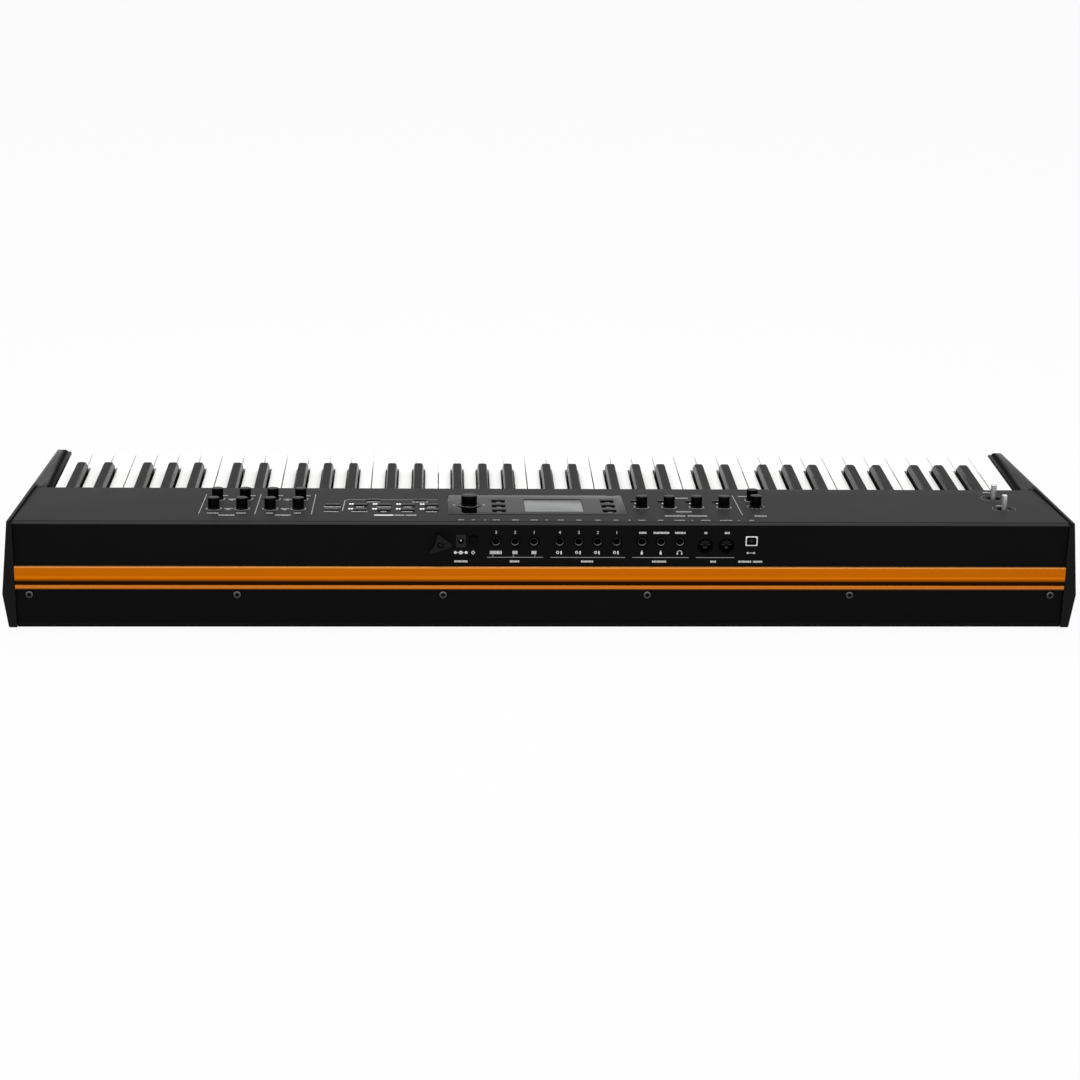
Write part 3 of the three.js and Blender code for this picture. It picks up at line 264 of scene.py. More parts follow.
class PianoStudio(bpy.types.PropertyGroup):
    """Light of the studio."""

    top_power: amount("Top light", "Power of the wide light overhead", 30, unit="POWER")
    rear_power: amount("Rear light", "Power of the light behind the piano", 12, unit="POWER")
    surround: amount("Surround", "Level of the light from all round", 0.4, subtype="FACTOR")


def sizes():
    return bpy.context.scene.piano_sizes


def colours():
    return bpy.context.scene.piano_colours


# ---------------------------------------------------------------- outlines and forms


def point(axis, a, b, t):
    """A point of an outline (a, b) at t along an axis."""
    return {"X": (t, a, b), "Y": (a, t, b), "Z": (a, b, t)}[axis]


def rounded(corners, steps=5):
    """An outline of 2D points. A corner (a, b, radius) becomes an arc and (a, b) stays sharp."""
    points = []
    for i, corner in enumerate(corners):
        here = Vector(corner[:2])
        radius = corner[2] if len(corner) > 2 else 0
        if not radius:
            points.append(here)
            continue
        before = (Vector(corners[i - 1][:2]) - here).normalized()
        after = (Vector(corners[(i + 1) % len(corners)][:2]) - here).normalized()
        half = before.angle(after) / 2
        centre = here + (before + after).normalized() * radius / math.sin(half)
        start = here + before * radius / math.tan(half) - centre
        end = here + after * radius / math.tan(half) - centre
        turn = math.atan2(start.x * end.y - start.y * end.x, start.dot(end))
        points += [centre + Matrix.Rotation(turn * k / steps, 2) @ start for k in range(steps + 1)]
    return points


def oblong(x, y, wide, tall, corner=0.0, steps=4):
    """A rectangle's outline round its middle, with round corners."""
    ends = [(-1, -1), (1, -1), (1, 1), (-1, 1)]
    return rounded([(x + sx * wide / 2, y + sy * tall / 2, corner) for sx, sy in ends], steps)


def inset(outline, distance):
    """An anticlockwise outline moved inwards, with its corners mitred."""
    moved = []
    for i, here in enumerate(outline):
        a = (here - outline[i - 1]).normalized()
        b = (outline[(i + 1) % len(outline)] - here).normalized()
        left_a, left_b = Vector((-a.y, a.x)), Vector((-b.y, b.x))
        moved.append(here + (left_a + left_b) * distance / (1 + left_a.dot(left_b)))
    return moved


class Form:
    """A closed mesh under construction, in millimetres, in the frame of what carries it."""

    def __init__(self):
        self.mesh = bmesh.new()

    def loft(self, rings, closed=False, capped=True):
        """Skins rings that have as many points each."""
        rows = [[self.mesh.verts.new(p) for p in ring] for ring in rings]
        count = len(rows[0])
        for a, b in zip(rows, rows[1:] + rows[:1] if closed else rows[1:]):
            for k in range(count):
                n = (k + 1) % count
                self.mesh.faces.new((a[k], a[n], b[n], b[k]))
        if capped and not closed:
            self.mesh.faces.new(rows[0][::-1])
            self.mesh.faces.new(rows[-1])
        return self

    def slab(self, outline, low, high, top=0.0, bottom=0.0, axis="Z", steps=3):
        """A plate on an outline, with its upper and lower edges rounded."""
        area = sum(a.x * b.y - a.y * b.x for a, b in zip(outline, outline[1:] + outline[:1]))
        outline = outline if area > 0 else outline[::-1]
        turns = [math.pi / 2 * k / steps for k in range(steps + 1)]
        levels = [(0, low)]
        if bottom:
            levels = [(bottom * (1 - math.sin(a)), low + bottom * (1 - math.cos(a))) for a in turns]
        if top:
            levels += [(top * (1 - math.cos(a)), high - top * (1 - math.sin(a))) for a in turns]
        else:
            levels.append((0, high))
        rings = [[point(axis, p.x, p.y, t) for p in inset(outline, d)] for d, t in levels]
        return self.loft(rings)

    def box(self, low, high):
        """A plain block between two corners, for what stays out of sight."""
        (x0, y0, z0), (x1, y1, z1) = low, high
        return self.slab([Vector(p) for p in ((x0, y0), (x1, y0), (x1, y1), (x0, y1))], z0, z1)

    def lathe(self, profile, at=(0, 0), axis="Z", sides=32, closed=False):
        """Turns a profile of (radius, level) points. It starts and ends on the axis unless it is closed."""
        turns = [2 * math.pi * k / sides for k in range(sides)]
        spokes = [(math.cos(a), math.sin(a)) for a in turns]
        place = lambda spoke, radius: [at[i] + radius * spoke[i] for i in (0, 1)]
        rings = [[point(axis, *place(spoke, radius), level) for spoke in spokes] for radius, level in profile]
        return self.loft(rings, closed=closed, capped=False)

    def rod(self, at, radius, low, high, axis="Z", sides=32, edge=0.0):
        """A round bar with its far edge rounded."""
        corner = (radius, high, edge) if edge else (radius, high)
        return self.lathe(rounded([(0, low), (radius, low), corner, (0, high)], 3), at, axis, sides)

    def add(self, other, place=None):
        """Takes in another form, moved by a matrix."""
        data = other.data("taken")
        if place is not None:
            data.transform(place)
        self.mesh.from_mesh(data)
        bpy.data.meshes.remove(data)
        return self

    def data(self, name):
        """The mesh, with its doubles merged and its faces outwards."""
        bmesh.ops.remove_doubles(self.mesh, verts=self.mesh.verts, dist=WELD)
        bmesh.ops.recalc_face_normals(self.mesh, faces=self.mesh.faces)
        data = bpy.data.meshes.new(name)
        self.mesh.to_mesh(data)
        self.mesh.free()
        return data


def linked(name, data):
    """A new object of the scene."""
    obj = bpy.data.objects.new(name, data)
    bpy.context.scene.collection.objects.link(obj)
    return obj


def stand_in(form):
    """An object that carries a form while modifiers work on it."""
    return linked("working", form.data("working"))


def applied(obj):
    """The form that an object's modifiers give. The object is removed."""
    depsgraph = bpy.context.evaluated_depsgraph_get()
    data = bpy.data.meshes.new_from_object(obj.evaluated_get(depsgraph))
    obj.modifiers.clear()
    form = Form()
    form.mesh.from_mesh(data)
    bpy.data.meshes.remove(data)
    bpy.data.objects.remove(obj)
    return form


def carved(form, tools):
    """A form with the tools cut out of it."""
    body, tool = stand_in(form), stand_in(tools)
    boolean = body.modifiers.new("carve", "BOOLEAN")
    boolean.operation = "DIFFERENCE"
    boolean.solver = "EXACT"
    boolean.use_self = True
    boolean.object = tool
    result = applied(body)
    bpy.data.objects.remove(tool)
    return result


def dress(obj, slot):
    """Gives an object the finish of a material slot."""
    obj.data.materials.clear()
    obj.data.materials.append(finish(slot))


def settle(name, form, place, body, slot, *nodes, crease=32):
    """Makes a form a piece of the piano that rides on a body and stands for its CAD nodes."""
    data = form.data(name)
    data.transform(place)
    data.shade_smooth()
    data.set_sharp_from_angle(angle=math.radians(crease))
    obj = linked(name, data)
    dress(obj, slot)
    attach(obj, body)
    slot in SLOT_OF.values()
    if nodes:
        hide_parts(*nodes)
    return obj


def settle_node(name, form, place, node, crease=32):
    """Makes a form the piece that stands for one CAD node, on its body and in its finish."""
    return settle(name, form, place, BODY_OF[node], SLOT_OF[node], node, crease=crease)


# ---------------------------------------------------------------- node trees


class Field:
    """An output socket that takes part in sums, products and comparisons."""

    def __init__(self, graph, socket):
        self.graph = graph
        self.socket = socket

    def maths(self, operation, *terms):
        return self.graph.maths(operation, *terms)

    def __add__(self, other):
        return self.maths("ADD", self, other)

    def __radd__(self, other):
        return self.maths("ADD", other, self)

    def __sub__(self, other):
        return self.maths("SUBTRACT", self, other)

    def __rsub__(self, other):
        return self.maths("SUBTRACT", other, self)

    def __mul__(self, other):
        return self.maths("MULTIPLY", self, other)

    def __rmul__(self, other):
        return self.maths("MULTIPLY", other, self)

    def __gt__(self, other):
        return self.maths("GREATER_THAN", self, other)

    def __lt__(self, other):
        return self.maths("LESS_THAN", self, other)

    def __or__(self, other):
        return self.maths("MAXIMUM", self, other)

    def __abs__(self):
        return self.maths("ABSOLUTE", self)

    def clamped(self):
        return self.graph.node("ShaderNodeClamp", {"Value": self})

    def within(self, low, high):
        return (self > low) * (self < high)


class Graph:
    """A node tree under construction."""

    def __init__(self, tree):
        self.tree = tree

    def node(self, kind, inputs=None, output=0, **settings):
        """Adds a node: its settings first, then a value or link for each input. Gives one output."""
        made = self.tree.nodes.new(kind)
        for name, value in settings.items():
            setattr(made, name, value)
        for key, value in (inputs or {}).items():
            if isinstance(value, Field):
                self.tree.links.new(value.socket, made.inputs[key])
            else:
                made.inputs[key].default_value = value
        return Field(self, made.outputs[output]) if made.outputs else None

    def maths(self, operation, *terms):
        return self.node("ShaderNodeMath", dict(enumerate(terms)), operation=operation)

    def place(self, stretch=(1, 1, 1)):
        """Object coordinates, stretched."""
        here = self.node("ShaderNodeTexCoord", output="Object")
        return self.node("ShaderNodeMapping", {"Vector": here, "Scale": stretch})

    def share(self, vector, name):
        """What a vector holds along one axis."""
        return self.node("ShaderNodeSeparateXYZ", {"Vector": vector}, name)

    def axis(self, name):
        """One of the object coordinates, in metres."""
        return self.share(self.node("ShaderNodeTexCoord", output="Object"), name)

    def facing(self, name):
        """How far a face looks along an axis."""
        return self.share(self.node("ShaderNodeNewGeometry", output="Normal"), name)

    def noise(self, scale, detail, stretch=(1, 1, 1), rough=0.5):
        """Soft noise about 0.5."""
        inputs = {"Vector": self.place(stretch), "Scale": scale, "Detail": detail, "Roughness": rough}
        return self.node("ShaderNodeTexNoise", inputs)

    def bricks(self, output=0, offset=0.0, **inputs):
        """A pattern of bricks. An input's name has _ for a space."""
        named = {name.replace("_", " "): value for name, value in inputs.items()}
        inputs = {"Vector": self.place(), **named}
        return self.node("ShaderNodeTexBrick", inputs, output, offset=offset, squash=1.0)

    def blend(self, factor, low, high):
        """A colour between two others, which may be fields."""
        return self.node("ShaderNodeMix", {0: factor, 6: low, 7: high}, 2, data_type="RGBA")

    def mottled(self, base, low, high, broad, fine, weight=0.7):
        """A base colour between two levels of itself, by a broad and a fine noise."""
        return self.blend(weight * broad + (1 - weight) * fine, shade(base, low), shade(base, high))

    def bump(self, height, depth):
        """A normal from a height between 0 and 1 that stands for a depth in metres."""
        return self.node("ShaderNodeBump", {"Height": height, "Distance": depth})

    def given(self, name):
        """One of the inputs of the tree."""
        return self.node("NodeGroupInput", output=name)

    def line(self, step):
        """As many points as the tree's count says, a step apart."""
        inputs = {"Count": self.given("Count"), "Offset": step}
        return self.node("GeometryNodeMeshLine", inputs, mode="OFFSET")


# ---------------------------------------------------------------- finishes

SPECULAR = "Specular IOR Level"
# Scale and detail of the mottling of a moulding and of the patches smoothed by hands
BROAD, HANDLED = (21, 3), (60, 4)

# Places where a finish changes, in metres in the part's frame: heights, or else the axis is in the name
# Bounds of the panel's painted sheen, of the painted highlight band and painted shade line round its rear
# bend, and of the painted highlight along the bottom bend
PAINT_BEND_Y, PAINT_LOW, PAINT_HEM = 0.1424, 0.0875, (0.0078, 0.0092)
PAINT_WALL, PAINT_BEND_SHADE = 0.1133, 0.1156
# Heights of the rail's painted highlights on the crest and lip, its painted band of light, and its painted
# shade under the roll, in the slot and at the lip's foot
RAIL_CREST, RAIL_LIP, RAIL_BAND = 0.0692, 0.0508, (0.0582, 0.0608)
RAIL_SHADE, RAIL_ROLL, RAIL_UNDER = 0.0583, 0.05095, 0.0474
# Bounds of the cheeks' painted shade in the coves, on the inner sides and along the ledge, and of their
# darker part beside the panel
COVE_X, COVE_TOP = (0.5093, 0.5158), 0.0935
CHEEK_SIDE_X, CHEEK_SIDE_Y, CHEEK_PANEL_Y = 0.5163, -0.004, -0.002
LEDGE_X, LEDGE_Y = 0.5102, -0.17
INLET_X, INLET_FACE_Y, SHELL_FACE_Y, HOOK_FACE_Y = 0.07, (0.14545, 0.14555), (0.147, 0.1478), 0.1534
# Bounds of the painted shade on the white keys' sides in the slots and on the black keys' base
KEY_SLOT_TOP, KEY_SLOT_Y, SHARP_FOOT = 0.0869, -0.0955, 0.0913


def shade(base, factor):
    """A base colour made lighter or darker, with its alpha."""
    return (*[min(1.0, c * factor) for c in base], 1.0)


def grained(rough, grain, depth, mottle=0.2, handling=0.1, stretch=(1, 1, 1)):
    """A moulded, painted or brushed surface: fine grain, faint mottling and patches smoothed by hands."""

    def varied(graph, base):
        fine = graph.noise(grain, 2, stretch)
        return {
            "Base Color": graph.mottled(base, 1 - mottle, 1 + mottle, graph.noise(*BROAD), fine),
            "Roughness": rough + handling * (graph.noise(*HANDLED) - 0.5),
            "Normal": graph.bump(fine, depth),
        }

    return varied


def painted_steel(graph, base):
    """Fine textured black paint. The control surface shows grey, partly its own paint and partly a painted
    sheen of the top light; round the rear bend a lighter band is a painted highlight with a painted shade
    line above it, and a thin light line along the bottom bend is a painted highlight.
    """
    grain, peel, broad = graph.noise(1900, 2), graph.noise(420, 1), graph.noise(9, 4)
    along, height = graph.axis("Y"), graph.axis("Z")
    # The control surface's grey is partly paint and partly a painted sheen; the rear bend has a painted
    # highlight band with a painted shade line above it, and the bottom bend a painted highlight line
    surface = (along < PAINT_BEND_Y) * (height > PAINT_LOW)
    bend = (along > PAINT_BEND_Y) * ((height > PAINT_WALL) * 1.0 - (height > PAINT_BEND_SHADE) * 0.65)
    level = surface * 0.55 + bend + height.within(*PAINT_HEM) * 0.3
    panel = colours().panel
    dark = graph.blend(level, shade(base, 0.75), shade(panel, 0.86))
    light = graph.blend(level, shade(base, 1.3), shade(panel, 1.14))
    return {
        "Base Color": graph.blend(broad * 0.6 + grain * 0.4, dark, light),
        "Roughness": 0.5 + 0.12 * (broad - 0.5) + 0.1 * (grain - 0.5),
        "Normal": graph.bump(0.75 * grain + 0.25 * peel, 0.00004),
    }


def orange_anodised(graph, base):
    """Anodised aluminium with the fine lines of its extrusion along it. Painted highlights run along its
    crest and lip, a lighter painted band of light crosses its face, and painted shade lies under the rolled
    edge, in the slot and at the lip's foot.
    """
    lines = graph.noise(2600, 3, (0.004, 1, 1), 0.6)
    tone = graph.mottled(base, 0.88, 1.12, graph.noise(5, 3), lines, 0.5)
    height = graph.axis("Z")
    # Painted highlights on the crest and the lip, a painted band of light, and painted shade below the roll,
    # in the slot and at the lip's foot
    edges = (height > RAIL_CREST) * 0.9 + (height < RAIL_LIP) * 0.3
    lightened = graph.blend(edges, tone, shade(colours().rail_edge, 1))
    lit = graph.blend(height.within(*RAIL_BAND) * 0.8, lightened, shade(base, 1.3))
    shadow = ((RAIL_SHADE - height) * 278).clamped() * (height > RAIL_ROLL) + (height < RAIL_UNDER) * 0.85
    return {
        "Base Color": graph.blend(shadow, lit, shade(base, 0.03)),
        "Roughness": 0.4 + 0.16 * (lines - 0.5),
        "Normal": graph.bump(lines, 0.00002),
    }


def display_glass(graph, base):
    """A grey unlit display: rows of fine dots under a clear window."""
    tints = {"Color1": WHITE, "Color2": (0.96, 0.96, 0.96, 1), "Mortar": (0, 0, 0, 1)}
    dots = graph.bricks(**tints, Scale=2200.0, Mortar_Size=0.05, Brick_Width=1.0, Row_Height=1.0)
    broad = graph.noise(14, 2)
    tone = graph.mottled(base, 0.86, 1.08, dots, broad, 0.75)
    return {"Base Color": tone, "Roughness": 0.22 + 0.06 * (broad - 0.5)}


def circuit_board(graph, base):
    """Solder mask with the paler tracks showing through."""
    tracks = graph.bricks("Fac", 0.5, Scale=160.0, Mortar_Size=0.09, Brick_Width=1.6, Row_Height=0.4)
    broad = graph.noise(80, 2)
    return {
        "Base Color": graph.blend(0.6 * tracks + 0.3 * broad, shade(base, 0.8), shade(base, 1.9)),
        "Roughness": 0.35 + 0.1 * (broad - 0.5),
        "Normal": graph.bump(tracks, 0.00003),
    }


def cheek_plastic(graph, base):
    """Satin moulding, smooth along its crests and dull down in the coves. Painted shade darkens the coves,
    the inner sides and the ledge, and the part beside the panel is darker too.
    """
    grain = graph.noise(1300, 2)
    across, along, height = abs(graph.axis("X")), graph.axis("Y"), graph.axis("Z")
    inner, outer = COVE_X
    cove = ((across - inner) * 700).clamped() * ((outer - across) * 320).clamped()
    cove = cove * ((COVE_TOP - height) * 260).clamped()
    side = (abs(graph.facing("X")) > 0.8) * (across < CHEEK_SIDE_X) * (along > CHEEK_SIDE_Y)
    ledge = (across < LEDGE_X) * ((along - LEDGE_Y) * 6).clamped() * 0.8
    # Rougher, and darker by painted shade, in the coves, on the inner sides and along the ledge; darker too
    # beside the panel
    dull = cove | side | ledge | (along > CHEEK_PANEL_Y) * 0.35
    tone = graph.mottled(base, 0.8, 1.2, graph.noise(*BROAD), grain)
    return {
        "Base Color": graph.blend(dull, tone, shade(base, 0.35)),
        "Roughness": 0.23 + 0.67 * dull + 0.08 * (graph.noise(*HANDLED) - 0.5),
        "Normal": graph.bump(grain, 0.000012),
    }


def worn_plating(graph, base):
    """Dark plating, lighter where it looks up: a painted highlight of the light from above."""
    grain, broad = graph.noise(1500, 2), graph.noise(140, 3)
    # Painted highlight on the faces that look up, lit from above
    above = (graph.facing("Z") * 1.6).clamped()
    tone = graph.mottled(base, 0.6, 1.4, broad, grain)
    return {
        "Base Color": graph.blend(above, tone, shade(base, 6)),
        "Roughness": 0.45 + 0.2 * (broad - 0.5),
        "Normal": graph.bump(grain, 0.00001),
    }


def socket_plastic(graph, base):
    """Black sockets and hook, lighter on the faces that stand out."""
    grain, broad = graph.noise(1500, 2), graph.noise(*BROAD)
    out = graph.axis("Y")
    inlet = out.within(*INLET_FACE_Y) * (graph.axis("X") > INLET_X)
    # The hook plate, the power button's face and the inlet's face are drawn lighter than the rest
    lightened = (out > HOOK_FACE_Y) * 0.5 + out.within(*SHELL_FACE_Y) + inlet * 0.8
    tone = graph.mottled(base, 0.8, 1.2, broad, grain, 0.6)
    return {
        "Base Color": graph.blend(lightened, tone, shade(base, 19)),
        "Roughness": 0.32 + 0.1 * (broad - 0.5),
        "Normal": graph.bump(grain, 0.00002),
    }


def chrome_stick(graph, base):
    """Chrome with drawn streaks along the stick."""
    streaks, fine = graph.noise(620, 2, (1, 1, 0.03)), graph.noise(2600, 2, (1, 1, 0.1))
    return {
        "Base Color": graph.blend((streaks - 0.5) * 2 + 0.5, shade(base, 0.4), shade(base, 1.0)),
        "Roughness": 0.32 + 0.08 * (fine - 0.5),
        "Normal": graph.bump(fine, 0.000004),
    }


def ivory_plastic(graph, base):
    """White keys: glossy tops, and painted shade on their sides down in the slots of the black keys."""
    grain = graph.noise(400, 2)
    side = abs(graph.facing("X")) > 0.8
    # Painted shade on the key sides down in the black keys' slots
    slot = side * (graph.axis("Z") < KEY_SLOT_TOP) * (graph.axis("Y") > KEY_SLOT_Y)
    tone = graph.mottled(base, 0.985, 1.015, graph.noise(*BROAD), grain)
    return {
        "Base Color": graph.blend(slot, tone, shade(base, 0.03)),
        "Roughness": 0.3 + 0.1 * (graph.noise(*HANDLED) - 0.5) + 0.6 * slot,
        "Normal": graph.bump(grain, 0.000008),
    }


def ebony_plastic(graph, base):
    """Black keys: satin flanks, finely brushed tops, and a dull base painted darker as shade."""
    grain, handled = graph.noise(900, 2, (1, 0.12, 1)), graph.noise(*HANDLED)
    # The base below the flanks is painted darker as shade
    foot = graph.axis("Z") < SHARP_FOOT
    dull = 0.28 * (graph.facing("Z") > 0.9) + 0.66 * foot
    tone = graph.mottled(base, 0.65, 1.35, grain, handled, 0.6)
    return {
        "Base Color": graph.blend(foot, tone, shade(base, 0.2)),
        "Roughness": 0.26 + dull + 0.12 * (handled - 0.5),
        "Normal": graph.bump(grain, 0.00002),
    }


def lamp_glow(graph, base):
    """A lit lamp, brighter in the middle of its grain."""
    grain = graph.noise(900, 2)
    return {
        "Emission Color": graph.blend(grain, shade(base, 0.8), shade(base, 1.0)),
        "Base Color": graph.blend(grain, shade(base, 0.6), shade(base, 0.8)),
    }


# For each slot its colour, the constants of its shader and what varies over it
FINISHES = {
    "painted_steel": ("steel", {SPECULAR: 0.015}, painted_steel),
    "orange_anodised": ("rail", {"Metallic": 0.35, SPECULAR: 0.02}, orange_anodised),
    "display_glass": ("display", {SPECULAR: 0.05}, display_glass),
    "circuit_board": ("board", {SPECULAR: 0.4}, circuit_board),
    "lamp": ("lamp", {"Emission Strength": 0.45, "Roughness": 0.4}, lamp_glow),
    "ebony_plastic": ("ebony", {SPECULAR: 0.1}, ebony_plastic),
    "cheek_plastic": ("cheek", {SPECULAR: 0.07}, cheek_plastic),
    "ivory_plastic": ("ivory", {"Coat Weight": 0.2, "Coat Roughness": 0.15}, ivory_plastic),
    "knob_plastic": ("knob", {SPECULAR: 0.03}, grained(0.22, 1700, 0.00001)),
    "cap_plastic": ("cap", {SPECULAR: 0.04}, grained(0.3, 2000, 0.000015)),
    "gloss_panel": ("bezel", {SPECULAR: 0.042}, grained(0.06, 300, 0.000001, 0.1, 0.02)),
    "chrome_stick": ("chrome", {"Metallic": 0.8}, chrome_stick),
    "socket_plastic": ("socket", {SPECULAR: 0.015}, socket_plastic),
    "worn_plating": ("plating", {SPECULAR: 0.1}, worn_plating),
    "insert_plastic": ("insert", {SPECULAR: 0.1}, grained(0.5, 1500, 0.00002)),
    "socket_tin": ("tin", {"Metallic": 0.9}, grained(0.35, 2400, 0.00001, 0.06, 0.12, (1, 1, 0.15))),
    "bright_steel": ("bright", {"Metallic": 1.0}, grained(0.38, 700, 0.00002, 0.12, 0.15)),
    "rubber_foot": ("rubber", {SPECULAR: 0.2}, grained(0.8, 900, 0.00008, 0.25)),
    "white_print": ("white_print", {SPECULAR: 0.2}, grained(0.55, 1400, 0.00001, 0.06)),
    "label_print": ("label_print", {SPECULAR: 0.2}, grained(0.55, 1400, 0.00001, 0.06)),
    "grey_print": ("grey_print", {SPECULAR: 0.2}, grained(0.55, 1400, 0.00001, 0.08)),
}


def finish(slot):
    """The material of a slot, mixed when it is first asked for: one Principled shader."""
    name = slot.replace("_", " ")
    if name in bpy.data.materials:
        return bpy.data.materials[name]
    tint, constants, varied = FINISHES[slot]
    material = bpy.data.materials.new(name)
    material.use_nodes = True
    graph = Graph(material.node_tree)
    shader = graph.tree.nodes["Principled BSDF"]
    for key, value in constants.items():
        shader.inputs[key].default_value = value
    for key, field in varied(graph, getattr(colours(), tint)).items():
        graph.tree.links.new(field.socket, shader.inputs[key])
    return material


# ---------------------------------------------------------------- repeats


def repeat_graph(name, inputs):
    """A new tree for a modifier, with its named inputs."""
    tree = bpy.data.node_groups.new(name, "GeometryNodeTree")
    tree.is_modifier = True
    tree.interface.new_socket("Geometry", in_out="OUTPUT", socket_type="NodeSocketGeometry")
    for label, kind in {"Geometry": "Geometry", "Material": "Material", **inputs}.items():
        tree.interface.new_socket(label, in_out="INPUT", socket_type=f"NodeSocket{kind}")
    return Graph(tree)


def close_tree(graph, points, **turned):
    """Puts the mesh on points, makes the copies real and gives them their material."""
    inputs = {"Points": points, "Instance": graph.given("Geometry"), **turned}
    copies = graph.node("GeometryNodeInstanceOnPoints", inputs)
    real = graph.node("GeometryNodeRealizeInstances", {"Geometry": copies})
    inputs = {"Geometry": real, "Material": graph.given("Material")}
    graph.node("NodeGroupOutput", {"Geometry": graph.node("GeometryNodeSetMaterial", inputs)})
    return graph.tree


def row_tree():
    """Repeats a mesh along a straight line."""
    graph = repeat_graph("row", {"Count": "Int", "Step": "Vector"})
    return close_tree(graph, graph.line(graph.given("Step")))


def ring_tree():
    """Repeats a mesh round the upright axis through the origin."""
    graph = repeat_graph("ring", {"Count": "Int", "First": "Float", "Step": "Float"})
    turn = graph.given("First") + graph.node("GeometryNodeInputIndex") * graph.given("Step")
    spin = graph.node("ShaderNodeCombineXYZ", {"Z": turn})
    rotation = graph.node("FunctionNodeEulerToRotation", {0: spin})
    return close_tree(graph, graph.line((0, 0, 0)), Rotation=rotation)


def repeated(form, kind, slot, **values):
    """A form repeated by a node tree, as plain mesh."""
    tree = bpy.data.node_groups.get(kind) or {"row": row_tree, "ring": ring_tree}[kind]()
    obj = stand_in(form)
    modifier = obj.modifiers.new(kind, "NODES")
    modifier.node_group = tree
    values["Material"] = finish(slot)
    for item in tree.interface.items_tree:
        if item.in_out == "INPUT" and item.name in values:
            modifier[item.identifier] = values[item.name]
    return applied(obj)


# ---------------------------------------------------------------- pieces


def extruded(profile, steps, edge):
    """A section drawn along the whole width of the case, with its corners and its two ends rounded."""
    return Form().slab(rounded(profile, steps), -CASE_HALF, CASE_HALF, edge, edge, axis="X", steps=2)


def band(inner, outer, low, high):
    """The profile of a flat ring."""
    return [(inner, low), (outer, low), (outer, high), (inner, high)]


class BuildPanel(bpy.types.Operator):
    """Top panel: rear wall, sloping control surface and turned-down lip, one folded sheet with its holes"""

    bl_idname = "piano.build_panel"
    bl_label = "Top panel"

    def execute(self, context):
        inner, joint = SHEET - PANEL_DEPTH, WALL_JOINT + GAP / 2
        under = lambda y: CASE_HEIGHT + y * math.tan(SLOPE) - SHEET / math.cos(SLOPE)
        profile = [
            (0, joint), (0, CASE_HEIGHT, 3.3), (-PANEL_DEPTH, CASE_HEIGHT - PANEL_FALL, 1.8),
            (-PANEL_DEPTH, PANEL_LIP, 0.4), (inner, PANEL_LIP, 0.4), (inner, under(inner)),
            (-SHEET, under(-SHEET), 1.8), (-SHEET, joint),
        ]
        sheet = extruded(profile, 8, 0.3)
        holes = Form()
        for places, radius, sides in ((KNOBS, 4, 24), (STICKS, 7.4, 48)):
            for x, along in places.values():
                holes.rod((x, -along), radius, *CUT, sides=sides)
        corners = [(*BEZEL, sizes().bezel_corner / MM), *[(*cap, 0.9) for cap in panel_caps()]]
        for x, along, wide, tall, corner in corners:
            holes.slab(oblong(x, -along, wide + 2 * GAP, tall + 2 * GAP, corner), *CUT)
        tilted = Matrix.Translation((0, 0, CASE_HEIGHT)) @ Matrix.Rotation(SLOPE, 4, "X")
        tools = Form().add(holes, tilted)
        for x in jack_xs():
            tools.rod((x, JACK_HEIGHT), 4.9, *CUT, "Y", 24)
        for place in MIDI:
            tools.rod(place, 7.9, *CUT, "Y", 48)
        for x, height, wide, tall in (USB, INLET, SWITCH):
            tools.slab(oblong(x, height, wide + 2 * GAP, tall + 2 * GAP, 0.5), *CUT, axis="Y")
        tools.rod(HOOK, 1.8, *CUT, "Y", 16)
        settle_node("folded_panel", carved(sheet, tools), CASE, "top_panel")
        return {"FINISHED"}


def cap_rows():
    """Places and sizes of the panel's own buttons: the near and far grid rows, the pair and the zones."""
    near = [(x, ROWS[0], *CAP) for x in GRID_XS]
    far = [(x, ROWS[1], *CAP) for x in GRID_XS] + [(x, ROWS[2], *CAP) for x in BANK_XS]
    pair = [(PAIR_X, along, *CAP) for along in ROWS[:2]]
    return near, far, pair, [(x, along, *ZONE_CAP) for x, along in ZONE_BUTTONS]


def panel_caps():
    """The same as one list, in the order in which their holes are cut."""
    near, far, pair, zone = cap_rows()
    grid = len(GRID_XS)
    return [*near, pair[0], *far[:grid], pair[1], *far[grid:], *zone]


def jack_xs():
    return [first + JACK_PITCH * i for first, count in JACK_ROWS for i in range(count)]


class BuildTray(bpy.types.Operator):
    """Base tray: lower rear wall, floor and front wall, one folded sheet"""

    bl_idname = "piano.build_tray"
    bl_label = "Base tray"

    def execute(self, context):
        top, inner = WALL_JOINT - GAP / 2, SHEET - CASE_DEPTH
        profile = [
            (0, top, 0.3), (0, 0, 1.9), (-CASE_DEPTH, 0, 1.9), (-CASE_DEPTH, FRONT_WALL, 0.5),
            (inner, FRONT_WALL, 0.5), (inner, SHEET, 0.6), (-SHEET, SHEET, 0.6), (-SHEET, top, 0.3),
        ]
        tray = extruded(profile, 6, 0.3)
        tray.box((GAP - CASE_HALF, -9, -1.9), (CASE_HALF - GAP, -0.4, -0.02))
        holes = Form()
        for x in SCREW_XS:
            holes.rod((x, SCREW_HEIGHT), 2.3, *CUT, "Y", 20)
        for x, y in FEET.values():
            holes.rod((x, y), 3.3, -3, 4, sides=20)
        settle_node("folded_tray", carved(tray, holes), CASE, "base_tray")
        return {"FINISHED"}


